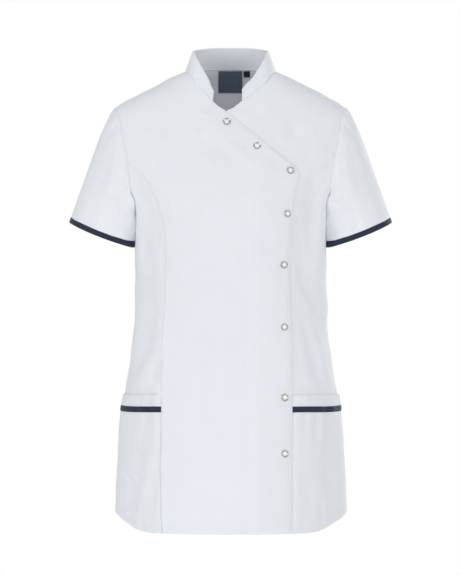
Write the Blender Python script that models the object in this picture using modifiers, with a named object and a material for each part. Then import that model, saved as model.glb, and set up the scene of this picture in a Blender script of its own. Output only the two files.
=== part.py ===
# Medical tunic: a white short-sleeved tunic, worn and hollow, with a stand collar,
# a slanting front that fastens with eight snaps, and two hip pockets.
# Metres, +Z up. The front faces -Y and the wearer's right side is at -X.
# The origin lies between the shoulders, level with the sides of the neck.

import math
from collections import namedtuple

import bmesh
import bpy
import numpy as np
from mathutils import Vector

NAME = "medical_tunic"

# cloth
CLOTH = 0.0015  # body, sleeves and pockets
COLLAR_CLOTH = 0.0020  # two layers with an interlining
BINDING_CLOTH = 0.0021  # a strip folded round an edge
LABEL_CLOTH = 0.0010
GAP = 0.0003  # between two pieces at a seam
LAYER = CLOTH + GAP  # how far a piece that lies on a panel is moved out
LAP_LIFT = 0.0028  # the overlap rides this far above the underlap's inner side
LAP_EASE = 0.022  # and comes down over this width
LAP_FULL = 0.006  # full lift begins this far outside it
PRINCESS_TRIM = 0.8 * GAP  # each side of the princess seam, which climbs at a slant

# levels, measured from the sides of the neck
HEM = -0.7275
HEM_SIDE_RISE = 0.025  # the hem is rounded up to the side seams
HEM_CURVE_FROM, HEM_CURVE_TO = math.radians(37), math.radians(85)
HEM_FADE_TOP = -0.600  # rows above this are level
UNDERARM = -0.217
SHOULDER_TIP = -0.058
POCKET_TOP, BAND_END, PIPING_END = -0.5150, -0.5325, -0.5415
POCKET_GAPE = 0.0018  # the mouth stands this far off the body
POCKET_GAPE_FROM = -0.640
RING_POWER = 2.3  # 2 is an ellipse, more is squarer
SIDE = math.pi / 2

Level = namedtuple("Level", "height half_width front back")
BODY = (
    Level(0.0150, 0.0540, 0.0420, 0.0560),
    Level(0.0090, 0.0630, 0.0440, 0.0595),
    Level(0.0000, 0.0726, 0.0465, 0.0640),
    Level(-0.0067, 0.0887, 0.0485, 0.0690),
    Level(-0.0259, 0.1256, 0.0545, 0.0800),
    Level(-0.0403, 0.1544, 0.0590, 0.0870),
    Level(-0.0547, 0.1795, 0.0635, 0.0930),
    Level(-0.0650, 0.1930, 0.0672, 0.0965),
    Level(-0.0800, 0.2010, 0.0730, 0.1010),
    Level(-0.1000, 0.2040, 0.0810, 0.1060),
    Level(-0.1200, 0.2020, 0.0890, 0.1105),
    Level(-0.1480, 0.1935, 0.1005, 0.1155),
    Level(-0.1700, 0.1815, 0.1090, 0.1185),
    Level(-0.2000, 0.1650, 0.1190, 0.1205),
    Level(-0.2170, 0.1575, 0.1230, 0.1205),
    Level(-0.2500, 0.1534, 0.1270, 0.1190),
    Level(-0.3000, 0.1525, 0.1240, 0.1140),
    Level(-0.3500, 0.1524, 0.1190, 0.1095),
    Level(-0.3900, 0.1530, 0.1155, 0.1080),
    Level(-0.4150, 0.1550, 0.1145, 0.1085),
    Level(-0.4400, 0.1584, 0.1148, 0.1100),
    Level(-0.4836, 0.1650, 0.1170, 0.1140),
    Level(-0.5220, 0.1708, 0.1195, 0.1180),
    Level(-0.6000, 0.1776, 0.1250, 0.1240),
    Level(-0.6500, 0.1808, 0.1280, 0.1275),
    Level(-0.7000, 0.1828, 0.1300, 0.1300),
    Level(-0.7500, 0.1830, 0.1310, 0.1310),
)

# how far the armhole cuts in from the side, from the shoulder tip (0) to the underarm (180)
ArmholeStep = namedtuple("ArmholeStep", "turn cut")
ARMHOLE = (
    ArmholeStep(0, 0.0),
    ArmholeStep(25, 24.0),
    ArmholeStep(52, 34.0),
    ArmholeStep(90, 36.0),
    ArmholeStep(115, 29.5),
    ArmholeStep(138, 20.0),
    ArmholeStep(180, 0.0),
)

# the neck seam by the angle round the body, from one collar end to the other
NeckPoint = namedtuple("NeckPoint", "degrees height rise lean")
NECK = (
    NeckPoint(-7.1, -0.0519, 0.0154, 0.0050),
    NeckPoint(-14.0, -0.0355, 0.0195, 0.0100),
    NeckPoint(-23.8, -0.0231, 0.0235, 0.0125),
    NeckPoint(-38.6, -0.0100, 0.0250, 0.0125),
    NeckPoint(-64.4, -0.0020, 0.0310, 0.0125),
    NeckPoint(-90.0, 0.0000, 0.0340, 0.0121),
    NeckPoint(-128.4, 0.0040, 0.0350, 0.0120),
    NeckPoint(-150.0, 0.0075, 0.0340, 0.0118),
    NeckPoint(-180.0, 0.0090, 0.0330, 0.0115),
    NeckPoint(-210.0, 0.0075, 0.0340, 0.0118),
    NeckPoint(-231.6, 0.0040, 0.0350, 0.0120),
    NeckPoint(-270.0, 0.0000, 0.0340, 0.0121),
    NeckPoint(-295.6, -0.0020, 0.0310, 0.0125),
    NeckPoint(-321.4, -0.0100, 0.0250, 0.0125),
    NeckPoint(-336.2, -0.0231, 0.0235, 0.0125),
    NeckPoint(-346.0, -0.0348, 0.0200, 0.0110),
    NeckPoint(-352.6, -0.0448, 0.0195, 0.0080),
    NeckPoint(-355.7, -0.0514, 0.0180, 0.0040),
)

# lines on the front, by the distance across from the middle and the height
Place = namedtuple("Place", "across height")
PRINCESS = (
    Place(-0.1065, HEM),
    Place(-0.1084, -0.6959),
    Place(-0.1101, -0.6402),
    Place(-0.1082, -0.5252),
    Place(-0.1082, -0.4691),
    Place(-0.1055, -0.4113),
    Place(-0.1023, -0.3318),
    Place(-0.1021, -0.2711),
    Place(-0.1045, -0.2477),
    Place(-0.1101, -0.2274),
    Place(-0.1164, -0.2085),
    Place(-0.1261, -0.1863),
    Place(-0.1374, -0.1702),
    Place(-0.1503, -0.1587),
    Place(-0.1606, -0.1480),
)
LAP_EDGE = (
    Place(0.0945, HEM),
    Place(0.0959, -0.5249),
    Place(0.0964, -0.4580),
    Place(0.0948, -0.4112),
    Place(0.0919, -0.3313),
    Place(0.0918, -0.3022),
    Place(0.0935, -0.2617),
    Place(0.0962, -0.2340),
    Place(0.1007, -0.2059),
    Place(0.1052, -0.1831),
)
LAP_CORNER = (Place(0.1066, -0.1725), Place(0.1070, -0.1673), Place(0.1055, -0.1620))
LAP_SLANT_TOP, LAP_SLANT_FOOT = Place(-0.0073, -0.0674), Place(0.1027, -0.1584)
UNDERLAP_ACROSS = 0.045  # its hidden edge, below the slant
UNDERLAP_CORNER = Place(0.045, -0.152)
UNDERLAP_TIP = Place(-0.0277, -0.0920)
UNDERLAP_NECK = Place(-0.0277, -0.0801)

SNAPS = (
    Place(-0.0062, -0.0856),
    Place(0.0411, -0.1245),
    Place(0.0926, -0.1627),
    Place(0.0874, -0.2304),
    Place(0.0822, -0.3094),
    Place(0.0829, -0.4065),
    Place(0.0836, -0.5163),
    Place(0.0836, -0.6033),
)

# a snap's cap from its middle out: the domed middle, the groove round it, the ring and the rim
Turned = namedtuple("Turned", "radius height")
SNAP_PROFILE = (
    Turned(0.0, 0.0015),
    Turned(0.0034, 0.0012),
    Turned(0.0039, 0.0008),
    Turned(0.0047, 0.0017),
    Turned(0.0057, 0.0009),
    Turned(0.0058, 0.0),
    Turned(0.0, 0.0),
)

# tags inside the back, by the middle of each
Tag = namedtuple("Tag", "name across width top bottom finish")
TAGS = (
    Tag("neck_label", -0.0005, 0.0390, 0.0072, -0.0262, "label cloth"),
    Tag("size_tab", 0.0268, 0.0106, 0.0070, -0.0020, "black cloth"),
)

# folds pressed into the cloth: each runs along an arc that bows sideways
Fold = namedtuple("Fold", "face across height to_across to_height bow width depth")
FOLDS = (
    Fold("front", -0.128, -0.360, -0.166, -0.512, 0.012, 0.014, 0.0058),
    Fold("front", -0.141, -0.240, -0.124, -0.330, 0.003, 0.012, 0.0042),
    Fold("front", -0.112, -0.452, -0.125, -0.500, 0.002, 0.011, 0.0032),
    Fold("front", -0.140, -0.590, -0.159, -0.712, 0.003, 0.015, 0.0042),
    Fold("front", 0.108, -0.230, 0.153, -0.440, -0.009, 0.014, 0.0058),
    Fold("front", 0.113, -0.385, 0.146, -0.512, -0.004, 0.013, 0.0044),
    Fold("front", 0.132, -0.165, 0.126, -0.245, 0.003, 0.012, 0.0036),
    Fold("front", 0.152, -0.560, 0.159, -0.712, 0.002, 0.015, 0.0040),
    Fold("back", -0.118, -0.285, -0.052, -0.450, 0.014, 0.018, 0.0062),
    Fold("back", 0.122, -0.305, 0.042, -0.436, -0.012, 0.018, 0.0056),
    Fold("back", -0.078, -0.388, 0.072, -0.404, -0.008, 0.016, 0.0046),
    Fold("back", 0.098, -0.500, 0.112, -0.712, 0.004, 0.020, 0.0056),
    Fold("back", -0.088, -0.540, -0.105, -0.712, -0.004, 0.020, 0.0052),
    Fold("back", -0.130, -0.110, -0.104, -0.300, 0.010, 0.018, 0.0042),
    Fold("back", 0.128, -0.120, 0.106, -0.280, -0.008, 0.018, 0.0038),
)
FOLD_SAMPLES = 9
FOLD_REACH = 0.05  # further away a fold isn't felt
FOLD_ENDS = 0.7  # how blunt a fold's ends are

# sleeves
CUFF_CENTRE = Vector((0.2062, 0.003, -0.2605))
CUFF_OUTWARD = Vector((0.0503, 0.0, 0.0190))  # half of the hem, inner to outer corner
CUFF_SAG = 0.0052  # how far the hem hangs lower in front and behind
CUFF_DEPTH = 0.0615  # half of the hem, front to back
CUFF_AXIS = Vector((0.338, 0.0, -0.941))
BINDING_HEIGHT = 0.0085
SEAM_OUTWARD = Vector((1, 0, -0.14)).normalized()  # the way a sleeve steps off the body
SEAM_STEP_TOP, SEAM_STEP_LOW = 0.6, 2.0  # that step in cloth thicknesses, shoulder tip and underarm
FLARE_TOP, FLARE_LOW = 0.85, -0.09  # how far the cloth leaves the armhole sideways
FALL_TOP, FALL_LOW = -0.53, -1.0  # and downwards
FLARE_FORWARD = 0.30
HEAD_REACH, HEAD_FULLNESS = 0.018, 0.017
CUFF_REACH = 0.3  # share of a line that runs straight down the cuff's axis
SAG_POWER = 1.5

# mesh fineness
SLEEVE_ROUND, SLEEVE_ROWS = 28, 8
COLLAR_ROWS, SHOULDER_ROWS = 4, 7
FRONT_COLUMNS, SIDE_COLUMNS, LEFT_COLUMNS, BACK_COLUMNS = 12, 10, 10, 25
TAG_ROWS, TAG_COLUMNS = 5, 7
SNAP_STEPS = 14

COLOURS = {
    "white cloth": (0.80, 0.82, 0.85, 1.0),
    "navy cloth": (0.012, 0.021, 0.048, 1.0),
    "snap metal": (0.72, 0.70, 0.66, 1.0),
    "label cloth": (0.075, 0.098, 0.135, 1.0),
    "black cloth": (0.012, 0.012, 0.014, 1.0),
}


def smooth_curve(places, values, rounded=False):
    """A cubic curve through a table whose places rise. A rounded one may swing past a highest row."""
    places, values = np.array(places, float), np.array(values, float)
    steps = np.diff(places)
    rises = np.diff(values) / steps
    slopes = np.zeros(len(places))
    slopes[0], slopes[-1] = rises[0], rises[-1]
    for i in range(1, len(places) - 1):
        if rounded:
            slopes[i] = (steps[i] * rises[i - 1] + steps[i - 1] * rises[i]) / (steps[i - 1] + steps[i])
        elif rises[i - 1] * rises[i] > 0:
            slopes[i] = 2 * rises[i - 1] * rises[i] / (rises[i - 1] + rises[i])

    def at(place):
        place = min(max(place, places[0]), places[-1])
        i = min(int(np.searchsorted(places, place, "right")) - 1, len(steps) - 1)
        t = (place - places[i]) / steps[i]
        start = (1 + 2 * t) * (1 - t) ** 2 * values[i] + t * (1 - t) ** 2 * steps[i] * slopes[i]
        end = t * t * (3 - 2 * t) * values[i + 1] - t * t * (1 - t) * steps[i] * slopes[i + 1]
        return float(start + end)

    return at


def column(rows, field, key="height", rounded=False):
    """One column of a table as a smooth curve over its key."""
    rows = sorted(rows, key=lambda row: getattr(row, key))
    places = [getattr(row, key) for row in rows]
    return smooth_curve(places, [getattr(row, field) for row in rows], rounded)


half_width = column(BODY, "half_width", rounded=True)
front_depth = column(BODY, "front", rounded=True)
back_depth = column(BODY, "back", rounded=True)
princess_across = column(PRINCESS, "across")
lap_across = column(LAP_EDGE, "across")
neck_height = column(NECK, "height", "degrees")
neck_rise = column(NECK, "rise", "degrees")
neck_lean = column(NECK, "lean", "degrees")
armhole_cut = column(ARMHOLE, "cut", "turn")


def ease(value, low, high):
    """0 below low, 1 above high, smooth between."""
    t = min(max((value - low) / (high - low), 0.0), 1.0)
    return t * t * (3 - 2 * t)


def lerp(a, b, t):
    return a + (b - a) * t


# the worn form


def fold_arc(fold):
    """Points along a fold's centre line, with how far along it they lie."""
    start = np.array((fold.across, fold.height))
    end = np.array((fold.to_across, fold.to_height))
    along = end - start
    sideways = np.array((-along[1], along[0])) / np.linalg.norm(along)
    if sideways[0] < 0:
        sideways = -sideways
    t = np.linspace(0, 1, FOLD_SAMPLES)[:, None]
    return start + along * t + sideways * fold.bow * 4 * t * (1 - t)


FOLD_ARCS = [(fold, fold_arc(fold)) for fold in FOLDS]


def fold_depth(face, across, height):
    """How far the folds press the cloth in at a place."""
    total = 0.0
    for fold, arc in FOLD_ARCS:
        if fold.face != face:
            continue
        gaps = np.hypot(arc[:, 0] - across, arc[:, 1] - height)
        nearest = int(gaps.argmin())
        if gaps[nearest] > FOLD_REACH:
            continue
        starts, ends = arc[:-1], arc[1:]
        runs = ends - starts
        t = ((np.array((across, height)) - starts) * runs).sum(1) / (runs**2).sum(1)
        t = np.clip(t, 0, 1)
        closest = starts + runs * t[:, None]
        distance = np.hypot(closest[:, 0] - across, closest[:, 1] - height)
        i = int(distance.argmin())
        share = (i + t[i]) / len(runs)
        along = math.sin(math.pi * share) ** FOLD_ENDS
        total += fold.depth * along * math.exp(-((distance[i] / fold.width) ** 2))
    return total


def ring_point(angle, height):
    """A point of the smooth form. Angle 0 is the middle front and a quarter turn the left side."""
    c, s = math.cos(angle), math.sin(angle)
    depth = front_depth(height) if c > 0 else back_depth(height)
    return Vector((
        half_width(height) * math.copysign(abs(s) ** (2 / RING_POWER), s),
        -depth * math.copysign(abs(c) ** (2 / RING_POWER), c),
        height,
    ))


def ring_normal(angle, height):
    turn, climb = 0.01, 0.001
    across = ring_point(angle + turn, height) - ring_point(angle - turn, height)
    up = ring_point(angle, height + climb) - ring_point(angle, height - climb)
    return across.cross(up).normalized()


def body_point(angle, height, out=0.0):
    """A point on the cloth's inner side, or that far out from it."""
    place = ring_point(angle, height)
    face = "front" if math.cos(angle) > 0 else "back"
    dent = fold_depth(face, place.x, height)
    return place + ring_normal(angle, height) * (out - CLOTH - dent)


def front_angle(across, height):
    """The angle at which the front of the form is this far across."""
    share = min(abs(across) / half_width(height), 1.0)
    return math.copysign(math.asin(share ** (RING_POWER / 2)), across)


def hem_drop(angle, height):
    """The hem's rounded corners, fading out above it."""
    from_middle = abs((angle + SIDE) % math.pi - SIDE)
    rise = HEM_SIDE_RISE * ease(from_middle, HEM_CURVE_FROM, HEM_CURVE_TO)
    return rise * (1 - ease(height, HEM, HEM_FADE_TOP))


def armhole(turn):
    """Angle in from the side and height. Turn 0 is the shoulder tip, and past pi it climbs the back."""
    middle, half = (SHOULDER_TIP + UNDERARM) / 2, (SHOULDER_TIP - UNDERARM) / 2
    cut = math.radians(armhole_cut(math.degrees(math.pi - abs(math.pi - turn))))
    return math.copysign(cut, math.pi - turn), middle + half * math.cos(turn)


# lines that several pieces share

LOWER = [HEM, -0.7180, -0.6980, -0.6700, -0.6400, -0.6050, -0.5720, PIPING_END,
         BAND_END, POCKET_TOP, -0.4940, -0.4700, -0.4450, -0.4180, -0.3900, -0.3600,
         -0.3300, -0.3000, -0.2720, -0.2450, -0.2250]
PRINCESS_UPPER = [UNDERARM, -0.2060, -0.1940, -0.1820, -0.1720, -0.1635, -0.1555, -0.1492]
LAP_UPPER = [UNDERARM, -0.2060, -0.1960, -0.1885, -0.1820, -0.1770]
PRINCESS_TURN = math.radians(97.6)  # where the princess seam meets the armhole
LOWER_TURNS = list(np.linspace(math.pi, math.radians(98.5), len(PRINCESS_UPPER)))
NECK_STATIONS = [14.0, 23.8, 38.6, 51.0, 64.4, 77.0]
SLANT_ROWS, NECKLINE_ROWS = 7, 2
UPPER_TURNS = list(np.linspace(PRINCESS_TURN, 0.0, SLANT_ROWS + NECKLINE_ROWS + len(NECK_STATIONS) + 2))


def seam_shares(count, narrow=0.03):
    """Shares from 0 to 1 with a narrow step at each end, so that walls stay square at a seam."""
    return [0.0] + list(np.linspace(narrow, 1 - narrow, count - 1)) + [1.0]


def add_collection():
    made = bpy.data.collections.new(NAME)
    bpy.context.scene.collection.children.link(made)


def material(name, roughness=0.85, metallic=0.0):
    made = bpy.data.materials.get(name)
    if made is None:
        made = bpy.data.materials.new(name)
        made.use_nodes = True
        shader = made.node_tree.nodes["Principled BSDF"]
        shader.inputs["Base Color"].default_value = COLOURS[name]
        shader.inputs["Roughness"].default_value = roughness
        shader.inputs["Metallic"].default_value = metallic
    return made


def add_object(name, bm, finish, thickness=0.0):
    """Makes the bmesh an object, and an open surface a wall that grows outwards."""
    mesh = bpy.data.meshes.new(name)
    bm.to_mesh(mesh)
    bm.free()
    mesh.materials.append(finish)
    mesh.shade_smooth()
    made = bpy.data.objects.new(name, mesh)
    bpy.data.collections[NAME].objects.link(made)
    if thickness:
        wall = made.modifiers.new("wall", "SOLIDIFY")
        wall.thickness = thickness
        wall.offset = 1.0
        wall.use_quality_normals = True
    return made


def surface(rows, columns, place, flip=False):
    """A grid whose point in row i and column j is place(i, j)."""
    bm = bmesh.new()
    bmesh.ops.create_grid(bm, x_segments=columns - 1, y_segments=rows - 1, size=0.5)
    for vert in bm.verts:
        j = round((vert.co.x + 0.5) * (columns - 1))
        i = round((vert.co.y + 0.5) * (rows - 1))
        vert.co = place(i, j)
    if flip:
        bmesh.ops.reverse_faces(bm, faces=bm.faces)
    return bm


def panel(name, grid, out=0.0, finish=None, thickness=CLOTH):
    """A piece of the body from rows of (angle, height) pairs."""

    def place(i, j):
        angle, height = grid[i][j]
        return body_point(angle, height, out(angle, height) if callable(out) else out)

    bm = surface(len(grid), len(grid[0]), place)
    return add_object(name, bm, finish or material("white cloth"), thickness)


def between(start, end, shares, trim=(0.0, 0.0)):
    """A row of (angle, height) pairs, drawn in from its ends by the trims."""
    length = (body_point(*end) - body_point(*start)).length
    first, last = trim[0] / length, 1 - trim[1] / length
    row = []
    for share in shares:
        t = lerp(first, last, share)
        row.append((lerp(start[0], end[0], t), lerp(start[1], end[1], t)))
    return row


def settle(grid):
    """Draws the rows near the hem up to its rounded corners."""
    return [[(angle, height + hem_drop(angle, height)) for angle, height in row] for row in grid]


def on_front(place):
    return front_angle(place.across, place.height), place.height


def seam_angle(height, depth):
    """Half a gap in from the side seam or the shoulder seam."""
    return SIDE - (GAP / 2 / depth(height)) ** (RING_POWER / 2)


def side_edge(side, height):
    return side * seam_angle(height, front_depth), height


def armhole_edge(side, turn):
    inset, height = armhole(turn)
    return side * min(SIDE - inset, seam_angle(height, front_depth)), height


def neck_edge(side, degrees):
    """A point of the neck seam on the front."""
    degrees = -degrees if side < 0 else degrees - 360
    return math.radians(degrees if side < 0 else degrees + 360), neck_height(degrees)


# fronts


def slant(share):
    return Place(
        lerp(LAP_SLANT_FOOT.across, LAP_SLANT_TOP.across, share),
        lerp(LAP_SLANT_FOOT.height, LAP_SLANT_TOP.height, share),
    )


def lap_line():
    """The overlap's edge from the hem to the round corner at the foot of the slant."""
    straight = [Place(lap_across(height), height) for height in LOWER + LAP_UPPER]
    return straight + list(LAP_CORNER)


def beside(place, start, end):
    """How far a place lies to the left of the line from start to end."""
    run = Place(end.across - start.across, end.height - start.height)
    rise = (place.height - start.height) * run.across
    return (rise - (place.across - start.across) * run.height) / math.hypot(*run)


def underlap_depth(across, height):
    """How far inside the underlap's hidden edge a place is."""
    place = Place(across, height)
    above = beside(place, UNDERLAP_TIP, UNDERLAP_CORNER)
    below = -beside(place, UNDERLAP_NECK, LAP_SLANT_TOP)
    return max(across - UNDERLAP_ACROSS, min(above, across - UNDERLAP_TIP.across, below))


def lap_lift(angle, height):
    across = ring_point(angle, height).x
    return LAP_LIFT * ease(underlap_depth(across, height), -LAP_EASE, -LAP_FULL)


def front_right():
    """The wide front: from the princess seam across to the overlap's edge."""
    left = [on_front(Place(princess_across(height), height)) for height in LOWER + PRINCESS_UPPER]
    left += [armhole_edge(-1, turn) for turn in UPPER_TURNS]
    right = [on_front(place) for place in lap_line()]
    right += [on_front(slant(i / (SLANT_ROWS - 1))) for i in range(SLANT_ROWS)]
    collar_end = neck_edge(-1, -NECK[0].degrees)
    tip = on_front(LAP_SLANT_TOP)
    right += [(lerp(tip[0], collar_end[0], 0.5), lerp(tip[1], collar_end[1], 0.5)), collar_end]
    right += [neck_edge(-1, degrees) for degrees in NECK_STATIONS]
    right += [(-seam_angle(0.0, front_depth), 0.0)]
    shares = seam_shares(FRONT_COLUMNS)
    grid = []
    for i, (a, b) in enumerate(zip(left, right)):
        trim = PRINCESS_TRIM if i < len(LOWER + PRINCESS_UPPER) else 0.0
        grid.append(between(a, b, shares, (trim, 0.0)))
    return panel("front_right", settle(grid), lap_lift)


def side_rows():
    """The side panel's rows, which the pocket on it shares."""
    left = [side_edge(-1, height) for height in LOWER]
    left += [armhole_edge(-1, turn) for turn in LOWER_TURNS]
    right = [on_front(Place(princess_across(height), height)) for height in LOWER + PRINCESS_UPPER]
    shares = seam_shares(SIDE_COLUMNS)
    return settle([between(a, b, shares, (0.0, PRINCESS_TRIM)) for a, b in zip(left, right)])


def left_rows():
    """The left front's rows: the underlap, then what shows from the overlap's edge to the side."""
    hidden = [on_front(Place(UNDERLAP_ACROSS, height)) for height in LOWER]
    rise = np.linspace(UNDERARM, UNDERLAP_CORNER.height, len(LAP_UPPER) + len(LAP_CORNER))
    hidden += [on_front(Place(UNDERLAP_ACROSS, float(height))) for height in rise]
    corner, tip = on_front(UNDERLAP_CORNER), on_front(UNDERLAP_TIP)
    for i in range(1, SLANT_ROWS):
        t = i / (SLANT_ROWS - 1)
        hidden.append((lerp(corner[0], tip[0], t), lerp(corner[1], tip[1], t)))
    neck, collar_end = on_front(UNDERLAP_NECK), neck_edge(1, 360 + NECK[-1].degrees)
    hidden += [neck, (lerp(neck[0], collar_end[0], 0.5), lerp(neck[1], collar_end[1], 0.5)), collar_end]
    hidden += [neck_edge(1, degrees) for degrees in NECK_STATIONS]
    hidden += [(seam_angle(0.0, front_depth), 0.0)]
    outer = [side_edge(1, height) for height in LOWER]
    outer += [armhole_edge(1, turn) for turn in LOWER_TURNS + UPPER_TURNS]
    lap = [on_front(Place(place.across + 2 * GAP, place.height)) for place in lap_line()]
    count = len(hidden)
    share = (lap[-1][0] - hidden[len(lap) - 1][0]) / (outer[len(lap) - 1][0] - hidden[len(lap) - 1][0])
    for i in range(len(lap), count):
        a, b = hidden[i], outer[i]
        lap.append((lerp(a[0], b[0], share), lerp(a[1], b[1], share)))
    hidden_shares, open_shares = [0.0, 0.5], seam_shares(LEFT_COLUMNS)
    rows = []
    for a, m, b in zip(hidden, lap, outer):
        rows.append(between(a, m, hidden_shares) + between(m, b, open_shares))
    return settle(rows), len(hidden_shares)


def back_rows():
    turns = (LOWER_TURNS + UPPER_TURNS)[::2]
    heights = LOWER + [armhole(turn)[1] for turn in turns]
    edges = [seam_angle(height, back_depth) for height in LOWER]
    for turn in turns:
        inset, height = armhole(turn)
        edges.append(min(SIDE - inset, seam_angle(height, back_depth)))
    rise = [SHOULDER_TIP * (1 - share) for share in np.linspace(0, 1, SHOULDER_ROWS + 1)[1:]]
    heights += rise
    edges += [seam_angle(height, back_depth) for height in rise]
    grid = []
    for height, edge in zip(heights, edges):
        start, end = math.pi - edge, math.pi + edge
        neck_share = ease(height, SHOULDER_TIP, 0.0)
        row = []
        for share in seam_shares(BACK_COLUMNS, 0.012):
            angle = lerp(start, end, share)
            row.append((angle, height + neck_share * neck_height(-math.degrees(angle))))
        grid.append(row)
    return settle(grid)


# collar


def collar():
    """A stand collar on the neck seam, open in front."""
    right_end = [-NECK[0].degrees]
    left_end = [360 + NECK[-1].degrees, 360 + NECK[-2].degrees]
    stations = [-degrees for degrees in right_end + NECK_STATIONS]
    stations += [-math.degrees(angle) for angle, _ in back_rows()[-1]]
    stations += [degrees - 360 for degrees in reversed(left_end + NECK_STATIONS)]
    stations.sort()

    def seam(degrees):
        return body_point(math.radians(degrees), neck_height(degrees))

    def place(i, j):
        degrees = stations[j]
        foot = seam(degrees)
        normal = ring_normal(math.radians(degrees), neck_height(degrees))
        along = (seam(degrees + 0.5) - seam(degrees - 0.5)).normalized()
        inward = Vector((-foot.x, -foot.y, 0.0)).normalized()
        off_edge = normal.cross(along)
        if off_edge.dot(inward + Vector((0, 0, 1))) < 0:
            off_edge.negate()
        clear = GAP + COLLAR_CLOTH * max(0.0, off_edge.dot(inward))
        up = Vector((0, 0, neck_rise(degrees))) + inward * neck_lean(degrees)
        return foot + off_edge * clear + up * (i / COLLAR_ROWS)

    bm = surface(COLLAR_ROWS + 1, len(stations), place)
    return add_object("collar", bm, material("white cloth"), COLLAR_CLOTH)


# sleeves


def sleeve_point(side, turn, share):
    """A point of a sleeve: turn 0 is the outer side, share 0 the armhole and 1 the edge of the cuff."""
    inset, height = armhole(turn)
    low = (1 - math.cos(turn)) / 2
    start = body_point(side * (SIDE - inset), height)
    mirror = Vector((side, 1, 1))
    start += SEAM_OUTWARD * mirror * (GAP + CLOTH * lerp(SEAM_STEP_TOP, SEAM_STEP_LOW, low**2))
    sideways, down = lerp(FLARE_TOP, FLARE_LOW, low), lerp(FALL_TOP, FALL_LOW, low)
    flare = Vector((sideways, -FLARE_FORWARD * math.sin(turn), down)).normalized() * mirror
    sag = CUFF_SAG * abs(math.sin(turn)) ** SAG_POWER
    across = Vector((0, -CUFF_DEPTH * math.sin(turn), -sag))
    end = (CUFF_CENTRE + CUFF_OUTWARD * math.cos(turn) + across) * mirror
    first = start + flare * (HEAD_REACH + HEAD_FULLNESS * abs(math.sin(turn)))
    last = end - CUFF_AXIS * mirror * (CUFF_REACH * (end - start).length)
    t, rest = share, 1 - share
    return start * rest**3 + first * 3 * t * rest**2 + last * 3 * t * t * rest + end * t**3


def cuff_share(side, turn, height):
    """Where on a sleeve's line the edge is this far away."""
    reach = (sleeve_point(side, turn, 1.0) - sleeve_point(side, turn, 0.0)).length
    return 1 - height / (3 * CUFF_REACH * reach)


def tube(name, rows, place, side, finish, thickness):
    """A sleeve's ring of surface, closed under the arm."""
    turns = np.linspace(0, 2 * math.pi, SLEEVE_ROUND + 1)
    bm = surface(rows + 1, SLEEVE_ROUND + 1, lambda i, j: place(float(turns[j]), i / rows), flip=side > 0)
    bmesh.ops.remove_doubles(bm, verts=bm.verts, dist=1e-6)
    return add_object(name, bm, finish, thickness)


def sleeve(side, name):
    def cloth(turn, share):
        return sleeve_point(side, turn, share * cuff_share(side, turn, BINDING_HEIGHT + 2 * GAP))

    def binding(turn, share):
        return sleeve_point(side, turn, lerp(cuff_share(side, turn, BINDING_HEIGHT), 1.0, share))

    tube(f"sleeve_{name}", SLEEVE_ROWS, cloth, side, material("white cloth"), CLOTH)
    tube(f"sleeve_binding_{name}", 1, binding, side, material("navy cloth"), BINDING_CLOTH)


# pockets


def pocket_out(angle, height):
    return LAYER + POCKET_GAPE * ease(height, POCKET_GAPE_FROM, POCKET_TOP)


def pocket(name, rows):
    """A patch pocket down to the hem: its body, a navy piping and a white band at the mouth."""
    stretches = (
        ("pocket", HEM, PIPING_END),
        ("pocket_piping", PIPING_END, BAND_END),
        ("pocket_band", BAND_END, POCKET_TOP),
    )
    for piece, low, high in stretches:
        first, last = LOWER.index(low), LOWER.index(high)
        grid = [list(row) for row in rows[first : last + 1]]
        if low > HEM:
            grid[0] = [(angle, height + GAP / 2) for angle, height in grid[0]]
        grid[-1] = [(angle, height - GAP / 2) for angle, height in grid[-1]]
        finish = material("navy cloth" if piece == "pocket_piping" else "white cloth")
        panel(f"{piece}_{name}", grid, pocket_out, finish)


# snaps and labels


def snap(number, place):
    """A snap's cap: a metal ring round a domed middle, turned about its axis."""
    bm = bmesh.new()
    verts = [bm.verts.new((radius, 0, height)) for radius, height in SNAP_PROFILE]
    for a, b in zip(verts, verts[1:]):
        bm.edges.new((a, b))
    made = add_object(f"snap_{number}", bm, material("snap metal", 0.3, 0.8))
    turn = made.modifiers.new("turn", "SCREW")
    turn.steps = turn.render_steps = SNAP_STEPS
    turn.use_merge_vertices = True
    turn.merge_threshold = 1e-5
    angle = front_angle(place.across, place.height)
    made.location = body_point(angle, place.height, lap_lift(angle, place.height) + CLOTH + GAP)
    made.rotation_mode = "QUATERNION"
    made.rotation_quaternion = ring_normal(angle, place.height).to_track_quat("Z", "Y")


def back_angle(across, height):
    return math.pi - front_angle(across, height)


def neck_tag(tag):
    """A tag that lies inside the back, under the neck seam."""

    def place(i, j):
        across = tag.across + tag.width * (0.5 - j / (TAG_COLUMNS - 1))
        height = lerp(tag.bottom, tag.top, i / (TAG_ROWS - 1))
        return body_point(back_angle(across, height), height, -2 * GAP - LABEL_CLOTH)

    grid = surface(TAG_ROWS, TAG_COLUMNS, place)
    add_object(tag.name, grid, material(tag.finish), LABEL_CLOTH)


def build():
    for thing in list(bpy.data.objects):
        bpy.data.objects.remove(thing)
    add_collection()
    front_right()
    side = side_rows()
    panel("side_front_right", side)
    left, hidden = left_rows()
    panel("front_left", left)
    panel("back", back_rows())
    collar()
    sleeve(-1, "right")
    sleeve(1, "left")
    pocket("right", side)
    pocket("left", [row[hidden:] for row in left])
    for number, place in enumerate(SNAPS, 1):
        snap(number, place)
    for tag in TAGS:
        neck_tag(tag)


build()
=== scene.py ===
import math

import bmesh
import bpy
import numpy as np
from mathutils import Matrix, Vector


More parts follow.
